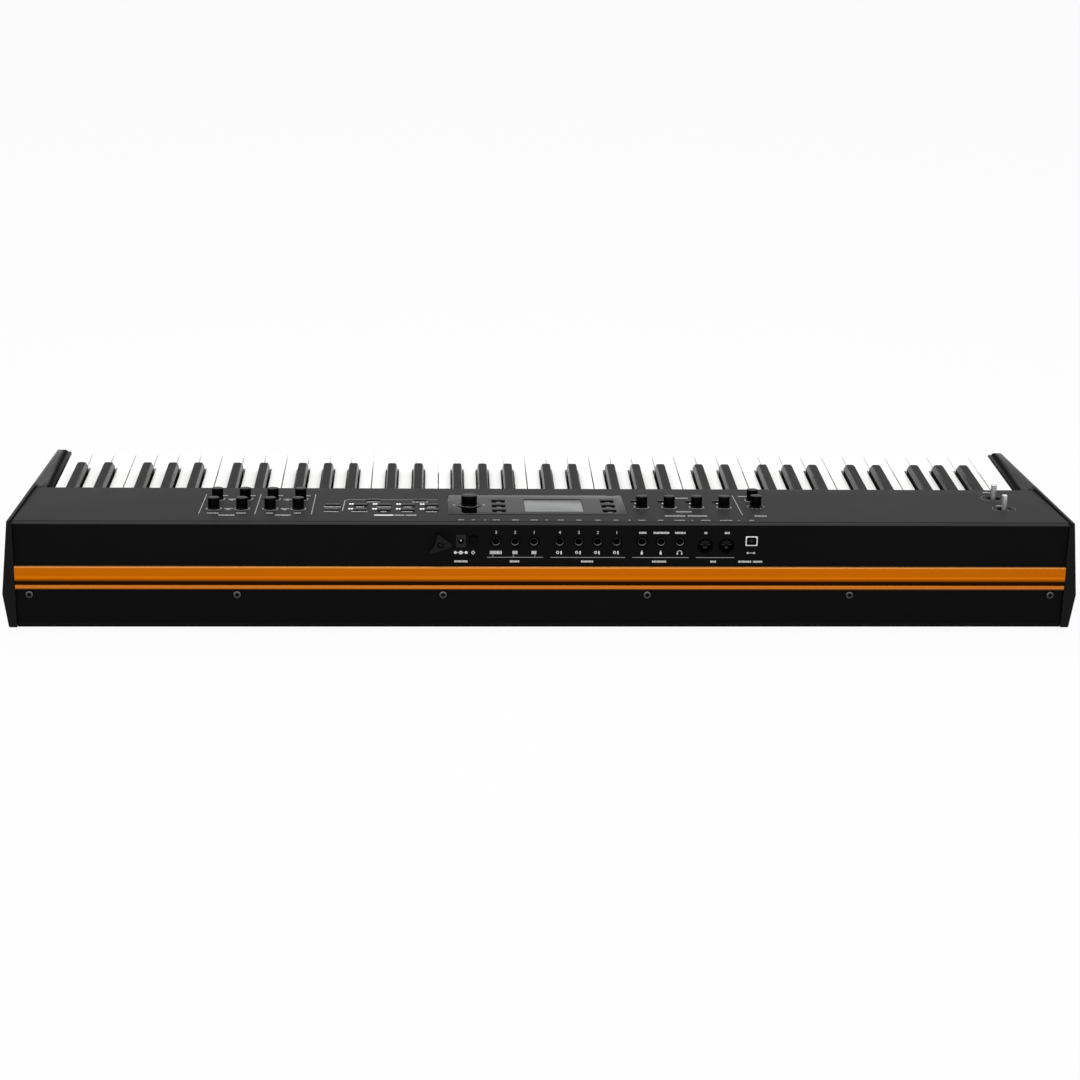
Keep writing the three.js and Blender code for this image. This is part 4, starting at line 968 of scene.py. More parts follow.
class BuildRail(bpy.types.Operator):
    """Orange rail: a broad band with a rolled lower edge, a slot and a narrow lip, and a strip in the slot
    that the rail's finish paints dark as shade
    """

    bl_idname = "piano.build_rail"
    bl_label = "Rear rail"

    def execute(self, context):
        profile = [
            (GAP, 38.1), (2.4, 38.1, 0.6), (2.4, 42.9, 0.6), (1.1, 42.9),
            (1.1, 46.6), (3.2, 46.6, 1.6), (3.2, 62.2, 1.2), (GAP, 62.2),
        ]
        settle_node("rail_extrusion", extruded(profile, 8, 0.25), CASE, "rear_rail")
        # A strip laid in the slot, which the rail's finish darkens as painted shade
        strip = Form().box((0.25 - CASE_HALF, 1.12, 42.95), (CASE_HALF - 0.25, 1.35, 46.55))
        settle("rail_slot_strip", strip, CASE, "case", "orange_anodised")
        return {"FINISHED"}


def arc_drop(distance, radius):
    """How far a rounded corner lies below its edge, at a distance from the corner."""
    reach = max(0.0, radius - distance)
    return radius - math.sqrt(max(0.0, radius * radius - reach * reach))


class BuildCheeks(bpy.types.Operator):
    """End cheeks: flanks that swell to a widest line, and coved arms beside the keys"""

    bl_idname = "piano.build_cheeks"
    bl_label = "End cheeks"

    back, front = 2.2, -299.5
    rear_top, front_top, foot = 109.4, 81.6, -2.1
    inner, ledge, ledge_top = 516.3, 506.55, 79.4
    groove_end = -139.2
    nose = 4

    def crest(self, y):
        return self.rear_top + (y - self.back) * (self.rear_top - self.front_top) / (self.back - self.front)

    def roll(self, y):
        """How far the crest has rolled down where the flank meets the arm."""
        return 0.14 * max(0.3, self.crest(y) - self.ledge_top - 2)

    def flank(self, y):
        """The cheek's outline at a distance along it, as x and height."""
        behind, ahead = self.back - y, y - self.front
        crown = self.crest(y) - arc_drop(behind, 1.8) - arc_drop(ahead, self.nose)
        foot = self.foot + arc_drop(behind, 1.6) + arc_drop(ahead, self.nose)
        thin = arc_drop(behind, 1.2) + arc_drop(ahead, 2)
        if y > self.groove_end:
            wide, middle, drop, level = 1.6, 1.5, 3.2, 3.2
        else:
            wide, drop = 0.6 + 1.8 * min(1.0, ahead / 40), self.roll(y)
            middle, level = wide / 2, drop / 2
        outline = [
            (0, foot), (7.9 - thin, foot, 1.4), (12.7 - thin, 33, 9), (5 - thin, crown, 1.6),
            (wide, crown, 0.25), (middle, crown - level), (0, crown - drop),
        ]
        return rounded([(self.inner + out, *rest) for out, *rest in outline], 6)

    def arm(self, y, reach):
        """The arm's outline: ledge, cove and the slope up to the flank, which it climbs in up to 12 steps."""
        top = self.crest(y) - arc_drop(y - self.front, self.nose) - self.roll(y)
        ledge_top = self.ledge_top - arc_drop(y - self.front, 3)
        start, low, whole = self.ledge + 3.2, self.ledge_top - 20, math.radians(80)
        curve = []
        for k in range(13):
            share = math.sin(whole * min(1.0, k / reach)) / math.sin(whole)
            curve.append((start + (self.inner - start) * k / 12, ledge_top + (top - ledge_top) * share))
        shoulder = rounded([(self.ledge, low), (self.ledge, ledge_top, 1), (start, ledge_top)], 4)[1:-1]
        ends = [(self.inner + GAP, top - 0.5), (self.inner + GAP, low)]
        return [Vector(p) for p in [(self.ledge, low), *shoulder, *curve, *ends]]

    def execute(self, context):
        near = [0, 0.15, 0.45, 0.9, 1.5, 2.4, 3.4, 4.2]
        span = self.back - self.front
        stations = [self.back - d for d in near] + [self.front + d for d in near]
        stations += [self.back - span * k / 12 for k in range(1, 12)]
        stations += [self.groove_end + 0.15, self.groove_end - 0.15]
        stations.sort(reverse=True)
        arm_stations = [self.front + d for d in near] + [-260, -220, -180, KEY_BACK]
        reach = KEY_BACK - self.front
        climbs = [5 + 7 * min(1.0, 2.5 * (y - self.front) / reach) for y in arm_stations]
        for node, side in (("cheek_right", 1), ("cheek_left", -1)):
            ring = lambda outline, y: [(p.x * side, y, p.y) for p in outline]
            cheek = Form().loft([ring(self.flank(y), y) for y in stations])
            cheek.loft([ring(self.arm(y, climb), y) for y, climb in zip(arm_stations, climbs)])
            settle_node(f"{node}_moulding", cheek, CASE, node, crease=40)
        return {"FINISHED"}


def sharp_above(i):
    """Middle of the black key between white keys i and i + 1, or nothing."""
    above = NOTES[(NOTES.index(natural(i)) + 1) % 12]
    if 0 <= i < WHITE_COUNT - 1 and above in SHARP_SHIFT:
        return -KEYBOARD_HALF + (i + 1) * KEY_PITCH + SHARP_SHIFT[above]
    return None


def natural(i):
    """The note of white key i."""
    return NATURALS[(2 + i) % 7]


def coupled(form, note, first, last, low, high):
    """Adds a hidden post or bar under the tails of a note's keys, clear of the other notes' bars."""
    y = BAR_FIRST - BAR_STEP * NOTES.index(note)
    return form.box((first - 3, y - 1.5, low), (last + 3, y + 1.5, high))


def white_key(i, note):
    """One white key, a cap that laps over the body in front and a tail. Gives the tail's middle too."""
    left = -KEYBOARD_HALF + i * KEY_PITCH
    right = left + KEY_PITCH
    below, above = sharp_above(i - 1), sharp_above(i)
    tail_left = left + KEY_GAP / 2 if below is None else below + SLOT_HALF
    tail_right = right - KEY_GAP / 2 if above is None else above - SLOT_HALF
    left += KEY_GAP / 2
    right -= KEY_GAP / 2
    corners = [(left, KEY_FRONT, 0.8), (right, KEY_FRONT, 0.8)]
    if above is not None:
        corners += [(right, NOTCH, 0.8), (tail_right, NOTCH, 0.5)]
    corners += [(tail_right, KEY_BACK), (tail_left, KEY_BACK)]
    if below is not None:
        corners += [(tail_left, NOTCH, 0.5), (left, NOTCH, 0.8)]
    cap = rounded(corners, 3)
    key = Form().slab(cap, WHITE_TOP - 2.6, WHITE_TOP, sizes().white_edge / MM, steps=3)
    key.slab(inset(cap, 0.3), WHITE_BOTTOM, WHITE_TOP - 2.4)
    key.box((tail_left, KEY_BACK - 8, TAIL_BOTTOM), (tail_right, TAIL_BACK, TAIL_TOP))
    middle = (tail_left + tail_right) / 2
    return coupled(key, note, middle, middle, *POST), middle


def black_key(x, note):
    """One black key: a tapering cap over an undercut base, with rounded shoulders and a sloping front."""
    edge, soft = sizes().black_edge / MM, 2.2
    level, nose = BLACK_FRONT + BLACK_RUN, WHITE_TOP + 0.4
    crown = [
        (BLACK_BACK, TAIL_BOTTOM), (BLACK_BACK, BLACK_TOP), (level + 6, BLACK_TOP), (level, BLACK_TOP, 5),
        (level - BLACK_RUN / 2, (BLACK_TOP + nose) / 2), (BLACK_FRONT, nose, 1.2), (BLACK_FRONT, TAIL_BOTTOM),
    ]
    rings = []
    for y, top in rounded(crown, 7)[1:-1]:
        share = max(0.0, (top - BLACK_SHOULDER) / (BLACK_TOP - BLACK_SHOULDER))
        base = BLACK_BASE / 2 - arc_drop(y - BLACK_FRONT, soft)
        half = base - (BLACK_BASE - BLACK_WIDE) / 2 * share
        low = min(BLACK_SHOULDER, top - 0.02)
        curve = min(edge if y > level + 5 else soft, 0.7 * (top - low))
        right = [(base - 0.4, TAIL_BOTTOM), (base - 0.4, low - 0.4), (base, low), (half, top, curve)]
        left = [(-out, *rest) for out, *rest in reversed(right)]
        rings.append([(p.x, y, p.y) for p in rounded([(x + out, *rest) for out, *rest in right + left], 4)])
    key = Form().loft(rings)
    key.box((x - 5.6, BLACK_BACK - 8, TAIL_BOTTOM), (x + 5.6, TAIL_BACK, TAIL_TOP))
    return coupled(key, note, x, x, *POST)


class BuildKeys(bpy.types.Operator):
    """White and black keys, each note's keys repeated by octaves and coupled by a hidden bar"""

    bl_idname = "piano.build_keys"
    bl_label = "Keyboard"

    octave = 7 * KEY_PITCH

    def key_set(self, note, key, slot, count, first, last, extra=None):
        """Repeats one note's key, takes in a key of another shape and couples them."""
        form = repeated(key, "row", slot, Count=count, Step=(self.octave, 0, 0))
        if extra:
            form.add(extra)
        coupled(form, note, first, last, *BAR)
        settle_node(f"{note}_key_set", form, CASE, f"keys_{note}")

    def execute(self, context):
        for note in NATURALS:
            members = [i for i in range(WHITE_COUNT) if natural(i) == note]
            lowest, first = white_key(members[0], note) if note == "e" else (None, None)
            whole = members[1:] if lowest else members
            key, middle = white_key(whole[0], note)
            last = middle + self.octave * (len(whole) - 1)
            first = middle if first is None else first
            self.key_set(note, key, "ivory_plastic", len(whole), first, last, lowest)
        for note in SHARP_SHIFT:
            below = NOTES[NOTES.index(note) - 1]
            members = [i for i in range(WHITE_COUNT - 1) if natural(i) == below]
            x = sharp_above(members[0])
            last = x + self.octave * (len(members) - 1)
            self.key_set(note, black_key(x, note), "ebony_plastic", len(members), x, last)
        return {"FINISHED"}


class BuildDisplay(bpy.types.Operator):
    """Polished bezel with its window, button holes and dished dial collar, and the display behind it"""

    bl_idname = "piano.build_display"
    bl_label = "Display"

    def execute(self, context):
        x, along, wide, tall = BEZEL
        corner = sizes().bezel_corner / MM
        plate = Form().slab(oblong(x, -along, wide, tall, corner, 8), -3.0, GAP, 0.25, steps=4)
        dial = (DIAL[0], -DIAL[1])
        holes = Form().rod(dial, 8.6, *BEZEL_CUT, sides=48)
        x, along, wide, tall = WINDOW
        holes.slab(oblong(x, -along, wide, tall, 0.8), *BEZEL_CUT)
        glass = Form().slab(oblong(x, -along, wide - 0.6, tall - 0.6, 0.6), -4.0, -0.4, 0.15)
        glass.slab(oblong(x, -along, wide + 8, tall + 8, 1), -7.3, -3.6)
        for x in SOFT_XS.values():
            for along in ROWS:
                holes.slab(oblong(x, -along, CAP[0] + 2 * GAP, CAP[1] + 2 * GAP, 0.9), *BEZEL_CUT)
        bezel = carved(plate, holes)
        dish = rounded([(8.3, -2.6), (12, -2.6), (12, 0.8, 0.25), (11.2, 0.8, 0.2), (8.3, 0.35, 0.3)], 4)
        bezel.lathe(dish, dial, sides=64, closed=True)
        settle_node("display_bezel_plate", bezel, PANEL, "display_bezel")
        settle_node("display_window", glass, PANEL, "display_module")
        return {"FINISHED"}


def button_caps(places, top, web):
    """Caps with softened edges on the hidden web that couples them."""
    edge = sizes().cap_edge / MM
    caps = Form()
    for x, along, wide, tall in places:
        caps.slab(oblong(x, -along, wide, tall, 0.7), -3.2, top, edge)
    for x0, x1, near, far in web:
        caps.box((x0 - 2.5, -far - 2.5, -2.9), (x1 + 2.5, -near + 2.5, CLEAR))
    return caps


class BuildButtons(bpy.types.Operator):
    """Button caps of the panel and the bezel, with the webs that couple them out of sight"""

    bl_idname = "piano.build_buttons"
    bl_label = "Buttons"

    def execute(self, context):
        first, last = GRID_XS[0], GRID_XS[-1]
        near, far, pair, zone = cap_rows()
        near_row, far_row, bank_row = ROWS
        ends = [x for x, along in ZONE_BUTTONS]
        far_webs = [(first, last, far_row, far_row)] + [(x, x, far_row, bank_row) for x in BANK_XS]
        groups = {
            "select_buttons_near": (near, [(first, last, near_row, near_row)]),
            "select_buttons_far": (far, far_webs),
            "part_buttons": (pair, [(PAIR_X, PAIR_X, near_row, far_row)]),
            "zone_buttons": (zone, [(min(ends), max(ends), ZONE_ALONG, ZONE_ALONG)]),
        }
        for node, (places, webs) in groups.items():
            settle_node(f"{node}_caps", button_caps(places, 1.3, webs), PANEL, node)
        for node, x in SOFT_XS.items():
            caps = button_caps([(x, along, *CAP) for along in ROWS], 1.6, [])
            caps.box((x - 2.5, -bank_row - 2.5, -4.1), (x + 2.5, -near_row + 2.5, -3.0))
            settle_node(f"{node}_caps", caps, PANEL, node)
        return {"FINISHED"}


def knob(radius, skirt, low, tall, sides=48):
    """A round knob over a thin skirt, hollow for its shaft."""
    profile = [
        (3.3, low), (skirt - 0.15, low), (skirt, low + 0.5, 0.2), (radius + 0.12, low + 0.9, 0.1),
        (radius, low + 1.4, 0.3), (radius - 0.05, tall, sizes().knob_edge / MM), (0, tall),
        (0, low + 7.3), (3.3, low + 7.3),
    ]
    return Form().lathe(rounded(profile, 4), sides=sides, closed=True)


class BuildKnobs(bpy.types.Operator):
    """Fourteen knobs, each with a pointer mark, and the ribbed dial"""

    bl_idname = "piano.build_knobs"
    bl_label = "Knobs and dial"

    def execute(self, context):
        for node, (x, along) in KNOBS.items():
            skirt = 7 if node == "volume_knob" else 6.4
            place = PANEL @ Matrix.Translation((x, -along, 0))
            settle_node(f"{node}_cap", knob(radius=5.7, skirt=skirt, low=0.4, tall=11.45), place, node)
            mark = Form().slab(oblong(0, 3.5, 0.6, 2.6, 0.25), 11.46, 11.5)
            settle(f"{node}_pointer", mark, place, BODY_OF[node], "insert_plastic")
        dial = knob(radius=7.7, skirt=8, low=1.2, tall=10.8, sides=72)
        rib = Form().slab(oblong(7.65, 0, 0.5, 0.42, 0.15, 2), 2.4, 10.2, 0.15, 0.15, steps=2)
        count = sizes().dial_ribs
        dial.add(repeated(rib, "ring", "knob_plastic", Count=count, First=0.0, Step=2 * math.pi / count))
        place = PANEL @ Matrix.Translation((DIAL[0], -DIAL[1], 0))
        settle_node("dial_cap", dial, place, "dial_knob")
        rings = {
            "dial_ring": ((10.3, 11.4, 0.7, 0.86), "knob_plastic"),
            "dial_rim": ((8.35, 8.7, 0.2, 0.62), "grey_print"),
        }
        for name, (profile, slot) in rings.items():
            settle(name, Form().lathe(band(*profile), sides=64, closed=True), place, "case", slot)
        return {"FINISHED"}


class BuildJoysticks(bpy.types.Operator):
    """Two chromed sticks with crowned ends, each on the tab that its yoke holds"""

    bl_idname = "piano.build_joysticks"
    bl_label = "Joysticks"

    def execute(self, context):
        profile = [(0, -4.2), (2.6, -4.2), (2.85, -3.6, 0.3), (2.85, 14.2, 0.8), (2.0, 14.8, 0.3), (0, 14.8)]
        for node, (x, along) in STICKS.items():
            stick = Form().lathe(rounded(profile, 4), sides=40)
            stick.rod((0, -8), 3, -2, 2, "Y", 24, 0.4)
            stick.box((-2, -2, -8), (2, 2, -3.4))
            settle_node(f"{node}_pin", stick, PANEL @ Matrix.Translation((x, -along, 0)), node)
        return {"FINISHED"}


class BuildJacks(bpy.types.Operator):
    """Ten phone jacks in three rows: black nuts over bored bushes, on their upright board"""

    bl_idname = "piano.build_jacks"
    bl_label = "Phone jacks"

    def execute(self, context):
        profile = [
            (0, -25.9), (6.6, -25.9), (6.6, CLEAR), (4.6, CLEAR), (4.6, 0.3), (5.3, 0.3), (5.3, 1.2, 0.35),
            (4.5, 1.2, 0.15), (3.95, 0.7, 0.1), (3.9, -3.7), (3.25, -3.7), (3.25, -19.7), (0, -19.7),
        ]
        # Linings in the jack mouths: plating, lighter where they face up as a painted highlight of the
        # mouths' edges
        lining = [(3.6, -1.2), (3.88, -1.2), (3.88, 0.5, 0.08), (3.6, 0.35, 0.08)]
        step = (JACK_PITCH, 0, 0)
        jacks, rings = Form(), Form()
        for first, count in JACK_ROWS:
            place = (first, JACK_HEIGHT)
            jack = Form().lathe(rounded(profile, 4), place, "Y", 40)
            jacks.add(repeated(jack, "row", "socket_plastic", Count=count, Step=step))
            ring = Form().lathe(rounded(lining, 3), place, "Y", 40, closed=True)
            rings.add(repeated(ring, "row", "worn_plating", Count=count, Step=step))
        xs = jack_xs()
        jacks.box((min(xs) - 9, -26.7, 78.2), (max(xs) + 9, -25.1, 98.2))
        settle_node("jack_rows", jacks, CASE, "jack_board")
        settle("jack_linings", rings, CASE, "case", "worn_plating")
        return {"FINISHED"}


class BuildSockets(bpy.types.Operator):
    """Round sockets, USB socket, power inlet and power button"""

    bl_idname = "piano.build_sockets"
    bl_label = "Other sockets"

    def execute(self, context):
        self.round_sockets()
        self.usb()
        self.inlet()
        x, height, wide, tall = SWITCH
        button = Form().slab(oblong(x, height, wide, tall, 1), -2.1, 2.4, 0.7, axis="Y", steps=4)
        button.box((x - 3.55, -3.4, height - 5.15), (x + 3.55, CLEAR, height + 5.15))
        settle_node("power_button", button, CASE, "power_switch")
        return {"FINISHED"}

    def round_sockets(self):
        housing, tools, guides = Form().box((-185.8, -14.8, 75.3), (-147.6, CLEAR, 92.5)), Form(), Form()
        for place in MIDI:
            tools.rod(place, 6.5, -6, 3, "Y", 48)
        housing = carved(housing, tools)
        collar = rounded([(6.5, -2.1), (7.6, -2.1), (7.6, 0, 0.3), (6.5, -0.1, 0.3)], 4)
        wedge = [Vector(p) for p in ((1.5, -0.3), (5.3, -0.75), (5.3, 0.75), (1.5, 0.3))]
        turns = {"First": math.radians(14), "Step": math.radians(38)}
        for x, height in MIDI:
            housing.lathe(collar, (x, height), "Y", 48, closed=True)
            housing.add(Form().slab(oblong(x, height - 6.1, 2.6, 1.6, 0.3), -6, -0.6, 0.2, axis="Y"))
            guide = Form().slab(wedge, -5.5, -1.6, 0.2)
            fan = repeated(guide, "ring", "insert_plastic", Count=5, **turns)
            fan.slab(oblong(0, -2.2, 3.4, 2.2, 0.5), -5.5, -1.6, 0.2)
            guides.add(fan, Matrix.Translation((x, 0, height)) @ BEHIND)
        settle_node("round_sockets", housing, CASE, "midi_sockets")
        settle("round_socket_guides", guides, CASE, "case", "insert_plastic")

    def usb(self):
        x, height, wide, tall = USB
        shell = Form().slab(oblong(x, height, wide, tall, 0.9), -2.1, 0.3, 0.25, axis="Y")
        shell.box((x - wide / 2 - 1.5, -17.8, height - 7), (x + wide / 2 + 1.5, CLEAR, height + 7))
        right = [(4, -4.1), (4.9, -3.2), (4.9, 2.8), (3.5, 4.1)]
        left = [(-across, up) for across, up in reversed(right)]
        mouth = rounded([(x + across, height + up, 0.3) for across, up in right + left], 3)
        shell = carved(shell, Form().slab(mouth, -9, 3, axis="Y"))
        settle_node("usb_shell", shell, CASE, "usb_socket")
        block = Form().slab(inset(mouth, -0.02), -8.8, -0.8, axis="Y")
        settle("usb_block", block, CASE, "case", "socket_plastic")
        tongue = Form().slab(oblong(x, height, 4, 2.4, 0.4), -0.75, -0.3, 0.3, axis="Y")
        settle("usb_tongue", tongue, CASE, "case", "insert_plastic")

    def inlet(self):
        x, height, wide, tall = INLET
        block = Form().slab(oblong(x, height, wide, tall, 0.7), -2.1, 0.3, 0.25, axis="Y")
        block.box((x - wide / 2 - 1.5, -14.8, height - 8.25), (x + wide / 2 + 1.5, CLEAR, height + 8.25))
        block = carved(block, Form().rod((x, height), 3, -9, 3, "Y", 40))
        settle_node("power_inlet_block", block, CASE, "power_inlet")
        pin = Form().rod((x, height), 1, -10.5, -1.4, "Y", 24, 0.4)
        settle("power_inlet_pin", pin, CASE, "case", "bright_steel")


class BuildHook(bpy.types.Operator):
    """Cord hook: a soft three-cornered plate on a boss, with its screw and nut"""

    bl_idname = "piano.build_hook"
    bl_label = "Cord hook"

    def execute(self, context):
        corners = [(105.9, 98.9, 2), (90.4, 85.8, 2.2), (119, 75.6, 2), (109.3, 85.6, 2.5)]
        hook = Form().slab(rounded(corners, 8), 6.5, 9.1, 0.8, 0.5, axis="Y", steps=4)
        hook = carved(hook, Form().rod(HOOK, 3.3, 7.6, 10, "Y", 32))
        hook.rod(HOOK, 1.9, 5, 8.6, "Y", 32, 0.4)
        hook.lathe(rounded([(0, 0.3), (5, 0.3), (4.6, 6, 0.5), (4.6, 7.5), (0, 7.5)], 4), HOOK, "Y", 40)
        hook.rod(HOOK, 1.5, -4, 5, "Y", 16)
        hook.rod(HOOK, 3.2, -4.2, CLEAR, "Y", 6)
        settle_node("hook_plate", hook, CASE, "cord_hook")
        return {"FINISHED"}


class BuildFixings(bpy.types.Operator):
    """Rear screws with hexagon sockets on their tapped strip, and the four feet"""

    bl_idname = "piano.build_fixings"
    bl_label = "Screws and feet"

    def execute(self, context):
        count, step = len(SCREW_XS), (SCREW_XS[1] - SCREW_XS[0], 0, 0)
        place = (SCREW_XS[0], SCREW_HEIGHT)
        head = rounded([(0, 0.3), (4, 0.3), (4, 0.9), (3.1, 1.9, 0.5), (0, 1.9)], 4)
        screw = carved(Form().lathe(head, place, "Y", 36), Form().rod(place, 1.55, 0.7, 3, "Y", 6))
        screw.rod(place, 2, -3, 0.5, "Y", 20)
        screws = repeated(screw, "row", "painted_steel", Count=count, Step=step)
        low, high = SCREW_HEIGHT - 4.5, SCREW_HEIGHT + 4.5
        screws.box((SCREW_XS[0] - 9, -4.4, low), (SCREW_XS[-1] + 9, CLEAR, high))
        settle_node("rear_screw_row", screws, CASE, "rear_screws")
        # A lighter ring on each screw face, a painted highlight of the head's edge
        face = [(2, 1.7), (3.5, 1.3), (3.5, 1.55), (3.1, 1.98), (2, 1.98)]
        rim = Form().lathe(face, place, "Y", 36, closed=True)
        rims = repeated(rim, "row", "worn_plating", Count=count, Step=step)
        settle("rear_screw_rims", rims, CASE, "case", "worn_plating")
        profile = [
            (0, -7.4), (9, -7.4), (9, -8, 0.2), (13, -8, 0.6), (15, -6, 0.8), (15, -0.3, 0.3),
            (3, -0.3), (3, 0.75), (0, 0.75),
        ]
        for node, (x, y) in FEET.items():
            foot = Form().lathe(rounded(profile, 4), sides=48)
            settle_node(f"{node}_pad", foot, CASE @ Matrix.Translation((x, y, 0)), node)
        return {"FINISHED"}


BLOCKS = [0.9, 0.55, 0.75, 1.0, 0.5, 0.8]


def printed(form, outline, axis="Z"):
    """Adds a printed mark on an outline."""
    return form.slab(outline, INK_FOOT, ink(), axis=axis)


def ink():
    """How far a printed mark stands off, in millimetres."""
    return sizes().print_thick / MM


def words(form, x, y, wide, tall, axis="Z"):
    """A label: a row of plain uneven blocks."""
    at, k = x - wide / 2, 0
    while at < x + wide / 2 - 0.3:
        end = min(at + BLOCKS[k % len(BLOCKS)], x + wide / 2)
        printed(form, oblong((at + end) / 2, y, end - at, tall), axis)
        at, k = end + 0.45, k + 1


def arc(form, x, y, radius, wide, first, last, steps=20):
    """A printed arc between two angles."""
    turns = [math.radians(first + (last - first) * k / steps) for k in range(steps + 1)]
    edge = lambda reach: [Vector((x + reach * math.cos(a), y + reach * math.sin(a))) for a in turns]
    printed(form, edge(radius + wide) + edge(radius)[::-1])


def stroke(form, a, b, half):
    """A printed line between two points."""
    side = (b - a).orthogonal().normalized() * half
    printed(form, [a - side, b - side, b + side, a + side])


def number(text, tall):
    """A plain number as a form, drawn flat about its middle."""
    curve = bpy.data.curves.new("number", "FONT")
    curve.body = text
    curve.size = tall / 0.7
    curve.extrude = ink() / 2
    curve.align_x = curve.align_y = "CENTER"
    return applied(linked("number", curve))


class BuildPrints(bpy.types.Operator):
    """Printed lines, scales, symbols, socket numbers and labels of plain blocks"""

    bl_idname = "piano.build_prints"
    bl_label = "Prints"

    def execute(self, context):
        self.panel()
        self.scales()
        self.bezel()
        self.rear()
        return {"FINISHED"}

    def keep(self, place, prints):
        for name, (form, slot) in prints.items():
            settle(name, form, place, "case", slot, crease=20)

    def panel(self):
        white, grey, faint = Form(), Form(), Form()
        for x, along, wide, tall in BIG_LABELS:
            printed(white, oblong(x, -along, wide, tall, 0.5))
        for x, along, wide, tall in PANEL_LABELS:
            words(faint, x, -along, wide, tall * 1.5)
        for x, wide in REAR_EDGE_LABELS:
            words(faint, x, -8.2, wide, 2)
        for x, near, far in SEPARATORS:
            printed(faint, oblong(x, -(near + far) / 2, 0.5, far - near))
        path = rounded([(200.4, -43.2), (199.6, -90, 6), (107, -90)], 8)
        for a, b in zip(path, path[1:]):
            stroke(grey, a, b, 0.45)
        x, along = STICKS["joystick_1"]
        for first in (-38, 142):
            arc(grey, x, -along, 11.5, 0.25, first, first + 76)
        x, along = STICKS["joystick_2"]
        arc(grey, x, -along, 12.5, 0.25, *SCALE_TURN, 60)
        prints = {
            "panel_print": (white, "white_print"),
            "panel_print_lines": (grey, "grey_print"),
            "panel_print_labels": (faint, "label_print"),
        }
        self.keep(PANEL, prints)

    def scales(self):
        """A line with eleven ticks round each knob, and dots round the volume knob."""
        ticks, lines = Form(), Form()
        step = math.radians(30)
        for node, (x, along) in KNOBS.items():
            reach, wide, tall = (8.6, 1.1, 1) if node == "volume_knob" else (8, 0.7, 0.4)
            if node != "volume_knob":
                arc(lines, x, -along, 6.7, 0.9, *SCALE_TURN, 40)
            tick = printed(Form(), oblong(reach, 0, wide, tall))
            ring = repeated(tick, "ring", "label_print", Count=11, First=-2 * step, Step=step)
            ticks.add(ring, Matrix.Translation((x, -along, 0)))
        self.keep(PANEL, {"knob_scales": (ticks, "label_print"), "knob_scale_lines": (lines, "grey_print")})

    def bezel(self):
        """Small marks on the bezel, which stands a little over the panel."""
        marks = Form()
        for x in SOFT_XS.values():
            for along in ROWS:
                words(marks, x, -(along - 7.6), 4.2, 1.4)
        x, along = DIAL
        for side in (-1, 1):
            for turn in (-1, 1):
                tip = Vector((x + side * 16.4, -along - 1.5))
                stroke(marks, tip, tip + Vector((-side * 2.8, turn * 2.8)), 0.3)
        self.keep(PANEL @ Matrix.Translation((0, 0, GAP)), {"bezel_print": (marks, "label_print")})

    def rear(self):
        white, grey = Form(), Form()
        for x, height, wide, tall in REAR_LABELS:
            words(white, x, height, wide, tall, "Y")
        for x, text in REAR_NUMBERS:
            white.add(number(text, 3), Matrix.Translation((x, ink(), NUMBERS)) @ BEHIND)
        for first, last in REAR_LINES:
            printed(grey, oblong((first + last) / 2, UNDERLINES, first - last, 0.55), "Y")
        for x in REAR_STEMS:
            printed(grey, oblong(x, STEMS, 0.6, 2.2), "Y")
        for x, radius in ((88.8, 1.5), (83.5, 1.9), (78.3, 1.5)):
            white.rod((x, SYMBOLS), radius, INK_FOOT, ink(), "Y", 20)
        printed(white, oblong(83.5, SYMBOLS, 9, 0.6), "Y")
        white.lathe(band(1.3, 2.1, INK_FOOT, ink()), (71.5, SYMBOLS), "Y", 4, closed=True)
        first, count = JACK_ROWS[1]
        mark = Form().lathe(band(0.8, 1.5, INK_FOOT, ink()), (first + 1.7, 76.9), "Y", 16, closed=True)
        printed(mark, oblong(first - 1.6, SYMBOLS, 1.3, 3.6, 0.4), "Y")
        white.add(repeated(mark, "row", "white_print", Count=count, Step=(JACK_PITCH, 0, 0)))
        for x in (-93.9, -112.5):
            printed(white, oblong(x, 76.2, 2, 3, 0.6), "Y")
            printed(white, oblong(x, 78.4, 1, 1), "Y")
        symbol = Form()
        arc(symbol, 0, 0, 2, 0.5, 0, 180)
        for side in (-1, 1):
            printed(symbol, oblong(side * 2.2, -0.9, 1.1, 2, 0.3))
        white.add(symbol, Matrix.Translation((-131.1, 0, SYMBOLS)) @ BEHIND)
        printed(white, oblong(USB[0], SYMBOLS, 7.4, 0.5), "Y")
        white.rod((USB[0] + 3.4, SYMBOLS), 1, INK_FOOT, ink(), "Y", 16)
        printed(white, oblong(USB[0] - 3, SYMBOLS, 1.8, 1.8), "Y")
        self.keep(CASE, {"rear_print": (white, "white_print"), "rear_print_lines": (grey, "grey_print")})


